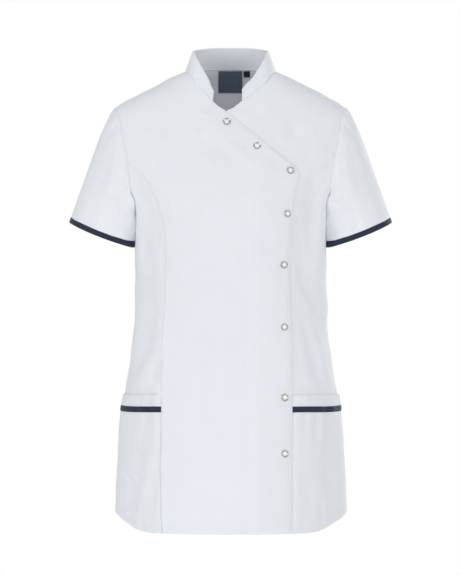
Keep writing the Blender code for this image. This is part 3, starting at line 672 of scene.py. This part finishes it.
def surfaceNormals(points, outward):
    turned = unit(np.cross(np.gradient(points, axis=1), np.gradient(points, axis=0)))
    flip = np.sign((turned * outward).sum(-1))[..., None]
    return turned * np.where(flip == 0, 1, flip)


def sheetObject(name, grid, material, slotName, nodes=(), wall=sheetLook["wall"], closed=False,
                bevel=sheetLook["bevel"]):
    points, normals = grid["points"], grid["normals"]
    rows, columns = points.shape[:2]
    u, v = pathLength(points[rows // 2]), pathLength(points[:, columns // 2])
    bm = bmesh.new()
    bmesh.ops.create_grid(bm, x_segments=columns - 1, y_segments=rows - 1, size=0.5)
    uvLayer = bm.loops.layers.uv.new("UVMap")
    cell = {}
    for vert in bm.verts:
        j, i = round((vert.co.x + 0.5) * (columns - 1)), round((vert.co.y + 0.5) * (rows - 1))
        vert.co = points[i, j]
        cell[vert] = (i, j)
    for face in bm.faces:
        for loop in face.loops:
            i, j = cell[loop.vert]
            loop[uvLayer].uv = (u[j], v[i])
    bm.normal_update()
    bm.faces.ensure_lookup_table()
    middle = bm.faces[len(bm.faces) // 2 + columns // 3]
    if middle.normal.dot(Vector(normals[cell[middle.verts[0]]])) < 0:
        bmesh.ops.reverse_faces(bm, faces=bm.faces)
    if closed:
        bmesh.ops.remove_doubles(bm, verts=bm.verts, dist=1e-6)
    piece = addPiece(name, bm, [material], nodes)
    thick = piece.modifiers.new("wall", "SOLIDIFY")
    thick.thickness = wall
    thick.offset = -1.0
    thick.use_quality_normals = True
    soft = piece.modifiers.new("soft edge", "BEVEL")
    soft.affect = "EDGES"
    soft.limit_method = "ANGLE"
    soft.angle_limit = math.radians(55)
    soft.width = bevel
    soft.segments = 2
    soft.profile = 0.5
    soft.material = -1
    return piece


# stitches

stitch = {"pitch": 0.0031, "length": 0.0024, "width": 0.0005, "thick": 0.00036, "proud": 0.00008,
          "ahead": 0.0005, "room": 1.5}


def readAt(places, run, values):
    return np.stack([np.interp(places, run, values[:, k]) for k in range(3)], -1)


def lineFrom(grid, key, distance, low=-1.0, high=1.0):
    # a line at one distance from an edge, between two heights, with the normals along it
    tables = [grid["points"], grid["normals"], grid[key]]
    if key in ("fromBottom", "fromTop"):
        tables = [np.swapaxes(table, 0, 1) for table in tables]
    if key in ("fromRight", "fromTop"):
        tables = [table[:, ::-1] for table in tables]
    line, facing = [], []
    for places, normals, away in zip(*tables):
        if away[-1] >= distance * stitch["room"]:
            line.append(readAt(distance, away, places))
            facing.append(readAt(distance, away, normals))
    line, facing = np.array(line), unit(np.array(facing))
    keep = (line[:, 2] > low) & (line[:, 2] < high)
    return line[keep], facing[keep]


def stitchMesh():
    bm = bmesh.new()
    uvLayer = bm.loops.layers.uv.new("UVMap")
    shape = Matrix.Diagonal((stitch["length"] / 2, stitch["width"] / 2, stitch["thick"] / 2, 1.0))
    bmesh.ops.create_uvsphere(bm, u_segments=6, v_segments=4, radius=1.0, matrix=shape)
    for face in bm.faces:
        for loop in face.loops:
            loop[uvLayer].uv = (loop.vert.co.x, loop.vert.co.y)
    return meshFrom(bm, "stitch", smooth=False)


oneStitch = stitchMesh()


def addStitches(name, lines, material, slotName):
    bm = bmesh.new()
    for line, facing in lines:
        run = pathLength(line)
        if run[-1] < 2 * stitch["pitch"]:
            continue
        count = int(run[-1] / stitch["pitch"])
        middles = (np.arange(count) + 0.5) * run[-1] / count
        centres = readAt(middles, run, line)
        ahead = readAt(np.minimum(middles + stitch["ahead"], run[-1]), run, line)
        for centre, toward, up in zip(centres, ahead - centres, unit(readAt(middles, run, facing))):
            along, up = Vector(toward).normalized(), Vector(up)
            side = up.cross(along).normalized()
            turned = Matrix((along, side, along.cross(side))).transposed().to_4x4()
            one = oneStitch.copy()
            one.transform(Matrix.Translation(Vector(centre) + up * stitch["proud"]) @ turned)
            bm.from_mesh(one)
            bpy.data.meshes.remove(one)
    return addPiece(name, bm, [material])


# borders: stretches with a line, the stations along it and the edge that the sheet has there

lowerHeights = [-0.7275, -0.718, -0.698, -0.67, -0.64, -0.605, -0.572, -0.5415, -0.5325, -0.515, -0.494,
                -0.47, -0.445, -0.418, -0.39, -0.36, -0.33, -0.3, -0.272, -0.245, -0.225]
princessUpper = [-0.217, -0.206, -0.194, -0.182, -0.172, -0.1635, -0.1555, -0.1492]
lapUpper = [-0.217, -0.206, -0.196, -0.1885, -0.182]
lowerTurns = list(np.linspace(math.pi, math.radians(98.5), 8))
upperTurns = list(np.linspace(math.radians(97.6), 0.0, 17))
slantShares = list(np.linspace(1 / 6, 1, 6))
neckStations = [14.0, 23.8, 38.6, 51.0, 64.4, 77.0]
neckEnds = {"right": 7.1, "left": 4.3}  # degrees from the middle of the front


def onFront(across, height):
    return frontAngle(across, height), height


def princessLine(height):
    return onFront(princessAcross(height), height)


def lapLine(height, inside=0.0):
    return onFront(lapAcross(height) - inside, height)


def sideLine(side, depth=frontDepth, middle=0.0):
    return lambda height: (middle + side * seamAngle(height, depth), height)


def armholeEdge(side, depth=frontDepth, middle=0.0):
    def line(turn):
        inset, height = armhole(turn)
        return middle + side * np.minimum(sideAngle - inset, seamAngle(height, depth)), height

    return line


def neckLine(side):
    def line(degrees):
        return side * np.radians(degrees), neckHeight(-degrees if side < 0 else degrees - 360)

    return line


def spot(angle, height):
    return lambda value: (angle, height)


def shoulderSpot(side):
    return spot(side * seamAngle(0.0, frontDepth), 0.0)


def throughPoints(points):
    across, height = curvesThrough(points)
    return lambda place: onFront(across(place), height(place))


cornerPoints = [(lapAcross(height), height) for height in lap["cornerFrom"]]
slantPlace = straight(lap["slantFoot"], lap["slantTop"])
cornerPoints += [*lap["corner"], lap["slantFoot"], slantPlace(lap["cornerTo"])]
print("form ready")

# fronts and back


def frontRight():
    seam = [(princessLine, lowerHeights + princessUpper, "seam"), (armholeEdge(-1), upperTurns, "armhole")]
    rolled = [
        (lapLine, lowerHeights + lapUpper, "fold"), (throughPoints(cornerPoints), [1, 2, 3, 4, 5], "fold"),
        (lambda share: onFront(*slantPlace(share)), slantShares, "fold"),
    ]
    middle = straight(onFront(*lap["slantTop"]), neckLine(-1)(neckEnds["right"]))(0.5)
    neck = [
        (spot(*middle), [0.0], "fold"), (neckLine(-1), [neckEnds["right"], *neckStations], "armhole"),
        (shoulderSpot(-1), [0.0], "armhole"),
    ]
    grid = settle(clothGrid(seam, rolled + neck, "fold", "seam"))
    lift = lapLift(grid["angle"], grid["height"])
    rolledEnd = sum(len(values) for line, values, profile in rolled) - 0.5
    toEdge = np.where(grid["mark"][:, None] < rolledEnd, grid["fromRight"], 1.0)
    lift = lift - lap["curl"] * (1 - ease(toEdge, 0.0, lap["curlReach"])) * (lift / lap["lift"])
    return layOut(grid, lift, ("fromLeft",))


def sideFrontRight():
    outer = [(sideLine(-1), lowerHeights, "seam"), (armholeEdge(-1), lowerTurns, "armhole")]
    inner = [(princessLine, lowerHeights + princessUpper, "seam")]
    return layOut(settle(clothGrid(outer, inner, "fold", "seam")), 0.0, ("fromRight",))


def frontLeft():
    rise = list(np.linspace(-0.217, lap["underCorner"][1], 9))
    corner, tip, neck = (onFront(*lap[key]) for key in ("underCorner", "underTip", "underNeck"))
    hidden = [
        (lambda height: onFront(lap["underAcross"], height), lowerHeights + rise, "fold"),
        (straight(corner, tip), slantShares, "fold"),
        (straight(neck, neckLine(1)(neckEnds["left"])), [0.0, 0.5], "fold"),
        (neckLine(1), [neckEnds["left"], *neckStations], "armhole"), (shoulderSpot(1), [0.0], "armhole"),
    ]
    outer = [(sideLine(1), lowerHeights, "seam"), (armholeEdge(1), lowerTurns + upperTurns, "armhole")]
    return layOut(settle(clothGrid(hidden, outer, "fold", "seam")), 0.0, ("fromRight",))


def backPanel():
    shoulder = list(np.linspace(armholeLine["tip"], 0.0, 8)[1:])
    left, right = (
        [
            (sideLine(side, backDepth, math.pi), lowerHeights, "seam"),
            (armholeEdge(side, backDepth, math.pi), lowerTurns + upperTurns, "armhole"),
            (sideLine(side, backDepth, math.pi), shoulder, "seam"),
        ]
        for side in (-1, 1)
    )
    grid = clothGrid(left, right, "fold", "armhole")
    share = ease(grid["height"], armholeLine["tip"], 0.0)
    grid["height"] = grid["height"] + share * neckHeight(-np.degrees(grid["angle"]))
    return layOut(settle(grid), 0.0, ("fromLeft", "fromRight"))


grids = {}


def addCloth(name, grid, navy=False, **options):
    # a node's cloth, with its grid kept for the stitches
    material, slotName = (navyCloth, "navy_cloth") if navy else (whiteCloth, "white_cloth")
    grids[name] = grid
    sheetObject(f"{name}_cloth", grid, material, slotName, [name], **options)


addCloth("front_right", frontRight(), wall=sheetLook["thinWall"])
addCloth("side_front_right", sideFrontRight())
addCloth("front_left", frontLeft())
addCloth("back", backPanel())
print("body panels made")

# collar

collarLook = {
    "ends": (-355.7, -7.1), "samples": 400, "high": 0.033, "wall": 0.0018, "bevel": 0.0004, "rowStep": 0.0026,
    "columnStep": 0.0032, "edgeDip": 0.7, "wave": 0.0003, "waveLength": 0.021, "waveMiddles": (-7, -356),
    "waveReach": 42, "swell": 0.0004,
}


def collarFoot(degrees):
    angle, height = np.radians(degrees), neckHeight(degrees)
    return ringPoint(angle, height) - ringNormal(angle, height) * cloth["wall"]


def collarPlace(degrees, share):
    foot = collarFoot(degrees)
    normal = ringNormal(np.radians(degrees), neckHeight(degrees))
    along = unit(collarFoot(degrees + 0.5) - collarFoot(degrees - 0.5))
    inward = unit(foot * (-1, -1, 0))
    offEdge = np.cross(normal, along)
    offEdge = offEdge * np.where((offEdge * (inward + (0, 0, 1))).sum(-1) < 0, -1, 1)[..., None]
    clear = cloth["gap"] + cloth["collar"] * np.maximum(0.0, (offEdge * inward).sum(-1))
    up = inward * neckLean(degrees)[..., None]
    up[..., 2] += neckRise(degrees)
    return foot + offEdge * clear[..., None] + up * share[..., None]


def collarGrid():
    look = collarLook
    degrees = np.linspace(*look["ends"], look["samples"])
    run = pathLength(collarPlace(degrees, np.full(len(degrees), 0.5)))
    fold = edges["fold"] * (1, look["edgeDip"])
    stations = spread(run[-1], look["columnStep"], fold, fold)
    rows = spread(look["high"], look["rowStep"], edges["neck"], fold) / look["high"]
    degrees, share = np.meshgrid(np.interp(stations, run, degrees), rows)
    points = collarPlace(degrees, share)
    outward = unit(points * (1, 1, 0))
    dip = lowered(degrees.shape, fold, fold, edges["neck"], fold)
    inside = np.sin(np.clip(share, 0, 1) * math.pi)
    front = sum(np.exp(-(((degrees - middle) / look["waveReach"]) ** 2)) for middle in look["waveMiddles"])
    wave = look["wave"] * front * np.sin(stations * 2 * math.pi / look["waveLength"] + 1.0) * inside**0.7
    lift = cloth["collar"] - dip + wave + look["swell"] * inside
    points = points + surfaceNormals(points, outward) * lift[..., None]
    along = stations + 0 * share
    return {
        "points": points, "normals": surfaceNormals(points, outward), "fromLeft": along,
        "fromRight": along[:, ::-1], "fromTop": (1 - share) * look["high"],
    }


addCloth("collar", collarGrid(), wall=collarLook["wall"], bevel=collarLook["bevel"])
print("collar made")

# sleeves

sleeveLook = {
    "cuffCentre": (0.2062, 0.003, -0.2605), "cuffOutward": (0.0503, 0.0, 0.0190), "cuffSag": 0.0052,
    "cuffDepth": 0.0615, "cuffAxis": (0.338, 0.0, -0.941), "binding": 0.0085, "clothEnd": 0.0082,
    "stepLow": 2.0, "flare": (0.85, -0.09), "fall": (-0.53, -1.0), "forward": 0.42, "square": 4.2,
    "squareFrom": (-0.3, 0.6), "headReach": 0.018, "headFullness": 0.017, "headRound": 0.2, "cuffReach": 0.3,
    "sagPower": 1.5, "around": 0.062, "long": 0.16, "columnStep": 0.0032, "rowStep": 0.0032, "inner": 0.94,
    "gathers": 0.00025, "gatherReach": 0.007, "gatherTurns": (34, 1.5, 5), "waveRadius": 0.1,
}
leanLook = {"clear": 0.0002, "reach": (0.007, 0.015), "heights": (0.180, 0.208), "from": 0.05}
bindingLook = {"rowStep": 0.002, "proud": 0.0002}
bindingSheet = {"wall": 0.0020, "bevel": 0.0004, "closed": True}
sleeveColumns = int(2 * math.pi * sleeveLook["around"] / sleeveLook["columnStep"]) + 1
sleeveTurns = np.linspace(0, 2 * math.pi, sleeveColumns)
# by degrees round from the outer side, front first, and the share from the armhole to the cuff
sleeveFolds = foldsOf((
    (((12, 0.03), (30, 0.3)), 7, 1.6, 0.5, 0.6, 0.1),
    (((50, 0.02), (38, 0.22), (34, 0.4)), 6, 1.4, 0.5, 0.6, 0.1),
    (((128, 0.1), (100, 0.42), (88, 0.7)), 10, 2.6, 0.4, 0.3, 0.2),
    (((150, 0.22), (118, 0.62)), 9, 2, 0.4, 0.3, 0.3),
    (((66, 0.3), (62, 0.8)), 12, 1.2, 0.4, 0.2, 0.4),
    (((232, 0.1), (262, 0.44), (270, 0.72)), 11, 2.8, 0.4, 0.3, 0.2),
    (((208, 0.24), (238, 0.66)), 10, 2, 0.4, 0.3, 0.3),
    (((330, 0.04), (318, 0.34)), 7, 1.4, 0.5, 0.6, 0.1),
    (((300, 0.34), (304, 0.86)), 12, 1.4, 0.4, 0.2, 0.4),
), (math.radians(1) * sleeveLook["around"], sleeveLook["long"]))
seamOutward = unit(np.array((1, 0, -0.14)))


def leant(points, side, weight):
    # the sleeve hangs against the body's side, from the underarm down
    x, y, z = side * points[..., 0], points[..., 1], points[..., 2]
    front = y < 0
    depth, power = np.where(front, frontDepth(z), backDepth(z)), np.where(front, frontPower(z), ringPower)
    body = halfWidth(z) * np.maximum(1 - (np.abs(y) / depth) ** power, 0) ** (1 / power)
    lift = bodyRipples(front, side * body, z) - bodyDent(front, side * body, z)
    clear = x - body - lift - leanLook["clear"]
    touching, free = leanLook["reach"]
    pull = np.minimum(clear, np.maximum(free - clear, 0) * touching / (free - touching))
    pull = pull * weight * ease(-z, *leanLook["heights"])
    return np.stack((side * (x - pull), y, z), -1)


def sleevePlace(side, turn, share):
    look, mirror = sleeveLook, np.array((side, 1, 1))
    inset, height = armhole(turn)
    low = (1 - np.cos(turn)) / 2
    angle = side * (sideAngle - inset)
    start = ringPoint(angle, height) - ringNormal(angle, height) * cloth["wall"]
    step = cloth["gap"] + cloth["wall"] * look["stepLow"] * low**6
    start = start + seamOutward * mirror * step[..., None]
    sideways, down = lerp(*look["flare"], low), lerp(*look["fall"], low)
    flare = unit(np.stack((sideways, -look["forward"] * np.sin(turn), down), -1)) * mirror
    sag = look["cuffSag"] * np.abs(np.sin(turn)) ** look["sagPower"]
    power = 2 + (look["square"] - 2) * ease(-np.cos(turn), *look["squareFrom"])  # square beside the body
    square = (np.abs(np.cos(turn)) ** power + np.abs(np.sin(turn)) ** power) ** (-1 / power)
    across = np.stack((0 * turn, -look["cuffDepth"] * np.sin(turn) * square, -sag), -1)
    sidewards = np.cos(turn) * square * lerp(1.0, look["inner"], low)
    outward = np.array(look["cuffOutward"]) * sidewards[..., None]
    end = (np.array(look["cuffCentre"]) + outward + across) * mirror
    least = look["headRound"]
    fullness = (np.hypot(np.sin(turn), least) - least) / (math.hypot(1, least) - least)
    first = start + flare * (look["headReach"] + look["headFullness"] * fullness)[..., None]
    reach = np.linalg.norm(end - start, axis=-1)[..., None]
    last = end - np.array(look["cuffAxis"]) * mirror * look["cuffReach"] * reach
    t, rest = share[..., None], 1 - share[..., None]
    return start * rest**3 + first * 3 * t * rest**2 + last * 3 * t * t * rest + end * t**3


def cuffShare(side, height):
    # the share of the way to the cuff where the sleeve is that far above it
    starts, ends = (sleevePlace(side, sleeveTurns, share + 0 * sleeveTurns) for share in (0, 1))
    return 1 - height / (3 * sleeveLook["cuffReach"] * np.linalg.norm(ends - starts, axis=-1))


def sleeveGrid(side, low, high, bottom, top, out, folded):
    lowPlaces, highPlaces = (sleevePlace(side, sleeveTurns, share) for share in (low, high))
    long = np.linalg.norm(highPlaces - lowPlaces, axis=-1).mean()
    rowStep = (sleeveLook if folded else bindingLook)["rowStep"]
    turn, row = np.meshgrid(sleeveTurns, spread(long, rowStep, edges[bottom], edges[top]) / long)
    share = lerp(low, high, row)
    nudge = 1e-3
    acrossStep = sleevePlace(side, turn + nudge, share) - sleevePlace(side, turn - nudge, share)
    further = np.minimum(share + nudge, 1.0)
    downStep = sleevePlace(side, turn, further) - sleevePlace(side, turn, share - nudge)
    normals = unit(np.cross(acrossStep, downStep)) * side
    lift = out - lowered(turn.shape, None, None, edges[bottom], edges[top])
    if folded:
        around, along = turn * sleeveLook["around"], share * sleeveLook["long"]
        for turns in (-1, 0, 1):
            lift = lift - pressed(sleeveFolds, around + turns * 2 * math.pi * sleeveLook["around"], along)
        radius = sleeveLook["waveRadius"]
        lift = lift - ripples(np.cos(turn) * radius, np.sin(turn) * radius + along)
        count, uneven, slow = sleeveLook["gatherTurns"]
        gathers = np.exp(-((row * long / sleeveLook["gatherReach"]) ** 2))
        lift = lift + sleeveLook["gathers"] * gathers * np.sin(turn * count + uneven * np.sin(turn * slow))
    weight = ease(share, 0.0, leanLook["from"])
    points = leant(sleevePlace(side, turn, share) + normals * lift[..., None], side, weight)
    points[:, -1] = points[:, 0]
    normals = surfaceNormals(points, normals)
    normals[:, -1] = normals[:, 0]
    return {"points": points, "normals": normals, "fromBottom": row * long}


for side, name in ((-1, "right"), (1, "left")):
    clothEnd, bindingTop = (cuffShare(side, sleeveLook[key]) for key in ("clothEnd", "binding"))
    sleeve = sleeveGrid(side, 0 * clothEnd, clothEnd, "sleeve seam", "plain", cloth["wall"], True)
    addCloth(f"sleeve_{name}", sleeve, closed=True)
    out = cloth["binding"] + bindingLook["proud"]
    binding = sleeveGrid(side, bindingTop, 0 * bindingTop + 1, "fold", "fold", out, False)
    addCloth(f"sleeve_binding_{name}", binding, True, **bindingSheet)
print("sleeves made")

# pockets

pocketLook = {
    "proud": 0.0018, "pinch": 0.0012, "pinchReach": 0.010, "piping": 0.0006, "narrowStep": 0.0018,
    "rippled": 0.6, "pipingRound": 0.6, "tilt": 0.0018, "tiltAcross": (0.10, 0.172),
    "tiltHeights": (-0.62, -0.55), "gape": 0.0018, "gapeFrom": -0.640, "inside": 0.0008,
    "lumpHeights": (-0.5340, -0.5200),
    "lumps": ((0.0005, 0.019, 0.8), (0.00035, 0.0117, 2.6)),  # size, length and start
}
pocketLine = {"low": -0.7275, "pipingLow": -0.5415, "bandLow": -0.5325, "top": -0.5150}
pocketPieces = (  # each between two heights, and its two edges
    ("pocket", "low", "pipingLow", "fold", "plain"),
    ("pocket_piping", "pipingLow", "bandLow", "plain", "plain"),
    ("pocket_band", "bandLow", "top", "plain", "fold"),
)
pocketBorders = {
    "right": (sideLine(-1), princessLine),
    "left": (lambda height: lapLine(height, pocketLook["inside"]), sideLine(1)),
}


def pocketGrid(piece, borders, low, high, bottom, top):
    look = pocketLook
    heights = [height for height in lowerHeights if pocketLine[low] <= height <= pocketLine[high]]
    left, right = ([(line, heights, "fold")] for line in borders)
    rowStep = sheetLook["rowStep"] if piece == "pocket" else look["narrowStep"]
    grid = settle(clothGrid(left, right, bottom, top, rowStep))
    inner = 1 - ease(np.abs(ringPoint(grid["angle"], grid["height"])[..., 0]), *look["tiltAcross"])
    grid["height"] = grid["height"] + look["tilt"] * inner * ease(grid["height"], *look["tiltHeights"])
    gape = look["gape"] * ease(grid["height"], look["gapeFrom"], pocketLine["top"])
    pinch = 1 - ease(np.minimum(grid["fromLeft"], grid["fromRight"]), 0.0, look["pinchReach"])
    out = look["proud"] + gape * (1 - pinch) - look["pinch"] * pinch
    if piece == "pocket_band":
        for size, length, start in look["lumps"]:
            lump = size * np.sin(grid["fromLeft"] * 2 * math.pi / length + start)
            out = out + lump * ease(grid["height"], *look["lumpHeights"])
    if piece == "pocket_piping":
        row = grid["fromBottom"] / grid["fromBottom"].max()
        out = out + look["piping"] * np.sin(row * math.pi) ** look["pipingRound"]
    return layOut(grid, out, rippled=look["rippled"])


for name, borders in pocketBorders.items():
    for piece, *rest in pocketPieces:
        navy = piece == "pocket_piping"
        wall = sheetLook["thinWall" if navy else "wall"]
        addCloth(f"{piece}_{name}", pocketGrid(piece, borders, *rest), navy, wall=wall)
print("pockets made")

# topstitching: the edge, the distance from it, and the heights between which it runs

hemRow = ("fromBottom", 0.010)
topstitching = {
    "front_right": (hemRow, ("fromRight", 0.0027, -0.722, -0.066), ("fromLeft", 0.0020, -0.722, -0.150)),
    "side_front_right": (hemRow,), "front_left": (hemRow,), "back": (hemRow,),
    "collar": (("fromTop", 0.0027), ("fromLeft", 0.0027), ("fromRight", 0.0027)),
    "pocket_right": (hemRow, ("fromTop", 0.0016)), "pocket_left": (hemRow, ("fromTop", 0.0016)),
    "pocket_band_right": (("fromTop", 0.0030),), "pocket_band_left": (("fromTop", 0.0030),),
    "sleeve_right": (("fromBottom", 0.0030),), "sleeve_left": (("fromBottom", 0.0030),),
    "sleeve_binding_right": (("fromBottom", 0.0012),), "sleeve_binding_left": (("fromBottom", 0.0012),),
}
stitchPieces = {}
for name, rows in topstitching.items():
    thread = (navyCloth, "navy_cloth") if "binding" in name else (whiteThread, "white_cloth")
    lines = [lineFrom(grids[name], *row) for row in rows]
    stitchPieces[name] = addStitches(f"{name}_stitches", lines, *thread)
print("stitches sewn")

# snaps

snapLook = {
    "places": ((-0.0062, -0.0856), (0.0411, -0.1245), (0.0926, -0.1627), (0.0874, -0.2304), (0.0822, -0.3094),
               (0.0829, -0.4065), (0.0836, -0.5163), (0.0836, -0.6033)),
    "ring": ((0.0059, -0.0003), (0.0060, 0.0004), (0.0058, 0.0011), (0.0053, 0.0016), (0.0048, 0.0015),
             (0.0044, 0.0010), (0.0038, 0.0006), (0.0033, 0.0005)),
    "pearl": ((0.0036, 0.0004), (0.0034, 0.0010), (0.0027, 0.0015), (0.0017, 0.0018), (0.0008, 0.0019),
              (0.0, 0.0019)),
    "steps": 40, "sunk": 0.0001,
}


def addTurned(bm, profile):
    verts = [bm.verts.new((radius, 0, height)) for radius, height in profile]
    lines = [bm.edges.new(pair) for pair in zip(verts, verts[1:])]
    bmesh.ops.spin(bm, geom=verts + lines, cent=(0, 0, 0), axis=(0, 0, 1), angle=2 * math.pi,
                   steps=snapLook["steps"], use_merge=True, use_duplicate=False)


def addSnap(number, across, height):
    bm = bmesh.new()
    addTurned(bm, snapLook["ring"])
    ringFaces = len(bm.faces)
    addTurned(bm, snapLook["pearl"])
    for k, face in enumerate(bm.faces):
        face.material_index = 0 if k < ringFaces else 1
    bmesh.ops.remove_doubles(bm, verts=bm.verts, dist=1e-6)
    bmesh.ops.recalc_face_normals(bm, faces=bm.faces)
    top = max(bm.faces, key=lambda face: face.calc_center_median().z)
    if top.normal.z < 0:
        bmesh.ops.reverse_faces(bm, faces=bm.faces)
    angle = frontAngle(across, height)
    normal = Vector(ringNormal(angle, height))
    dent = pressed(bodyFolds["front"], np.array([across]), np.array([height]))[0]
    lift = float(lapLift(angle, height) - dent - snapLook["sunk"])
    place = Vector(ringPoint(angle, height)) + normal * lift
    matrix = Matrix.Translation(place) @ normal.to_track_quat("Z", "Y").to_matrix().to_4x4()
    bmesh.ops.transform(bm, matrix=matrix, verts=bm.verts)
    addPiece(f"snap_{number}_cap", bm, [snapMetal, snapPearl], [f"snap_{number}"])


for number, place in enumerate(snapLook["places"], 1):
    addSnap(number, *place)
print("snaps pressed on")

# labels

labelSheet = {"wall": 0.0004, "bevel": 0.0001}
backingSheet = {"wall": 0.0003, "bevel": 0.0001}
labelLay = {"inset": 0.0006, "backingInset": 0.0001, "backingGrow": 0.0007, "sag": 0.0006,
            "sagWave": (0.5, 160), "columns": 24, "rows": 22}
labels = {
    "neck_label": {"across": -0.0005, "width": 0.0390, "top": 0.0072, "bottom": -0.0262,
                   "cloth": (labelCloth, "label_cloth")},
    "size_tab": {"across": 0.0268, "width": 0.0106, "top": 0.0070, "bottom": -0.0020,
                 "cloth": (tabCloth, "black_cloth")},
}


def labelGrid(look, inset, grow=0.0):
    across = look["across"] + (look["width"] + 2 * grow) * (0.5 - np.linspace(0, 1, labelLay["columns"]))
    x, h = np.meshgrid(across, np.linspace(look["bottom"] - grow, look["top"], labelLay["rows"]))
    angle = math.pi - frontAngle(x, h)
    place, normal = ringPoint(angle, h), ringNormal(angle, h)
    dent = pressed(bodyFolds["back"], place[..., 0], h)
    size, turns = labelLay["sagWave"]
    sag = labelLay["sag"] * (1 - ease(h, look["bottom"], look["top"])) * (1 + size * np.sin(x * turns))
    points = place - normal * (cloth["wall"] + 2 * cloth["gap"] + inset + dent + sag)[..., None]
    return {"points": points, "normals": surfaceNormals(points, -normal)}


for name, look in labels.items():
    grid = labelGrid(look, labelLay["inset"])
    sheetObject(f"{name}_cloth", grid, *look["cloth"], [name], **labelSheet)
grid = labelGrid(labels["neck_label"], labelLay["backingInset"], labelLay["backingGrow"])
backing = sheetObject("neck_label_backing", grid, labelBacking, "label_cloth", **backingSheet)
print("labels sewn in")

# what each sheet was cut to: its flat size and its area

cuts = {
    "front_right": ((0.27, 0.76), 0.152), "side_front_right": ((0.14, 0.60), 0.063),
    "front_left": ((0.24, 0.75), 0.128), "back": ((0.50, 0.78), 0.319), "collar": ((0.40, 0.037), 0.0115),
    "sleeve_right": ((0.42, 0.17), 0.0443), "sleeve_left": ((0.42, 0.17), 0.0443),
    "sleeve_binding_right": ((0.36, 0.0105), None), "sleeve_binding_left": ((0.36, 0.0105), None),
    "pocket_right": ((0.13, 0.19), 0.0236), "pocket_left": ((0.145, 0.19), 0.0263),
    "pocket_band_right": ((0.125, 0.0175), None), "pocket_band_left": ((0.125, 0.0175), None),
    "pocket_piping_right": ((0.125, 0.010), None), "pocket_piping_left": ((0.125, 0.010), None),
    "neck_label": ((0.039, 0.0334), None), "size_tab": ((0.0106, 0.010), None),
}
for name, (flat, area) in cuts.items():
    extra = [stitchPieces[name]] if name in stitchPieces else []
    if name == "neck_label":
        extra.append(backing)

# floor

floorDisc = {"height": -1.42, "radius": 2.4, "thickness": 0.02, "colour": (0.86, 0.86, 0.87, 1), "rough": 0.9}


def addFloor():
    bm = bmesh.new()
    radius, thickness = floorDisc["radius"], floorDisc["thickness"]
    bmesh.ops.create_cone(bm, cap_ends=True, segments=96, radius1=radius, radius2=radius, depth=thickness)
    bmesh.ops.translate(bm, verts=bm.verts, vec=(0, 0, floorDisc["height"] - thickness / 2))
    recipe = Recipe(bpy.data.materials.new("floor"))
    material = recipe.shaded({"Base Color": floorDisc["colour"], "Roughness": floorDisc["rough"]})
    addObject("floor", meshFrom(bm, "floor", [material], smooth=False))


addFloor()
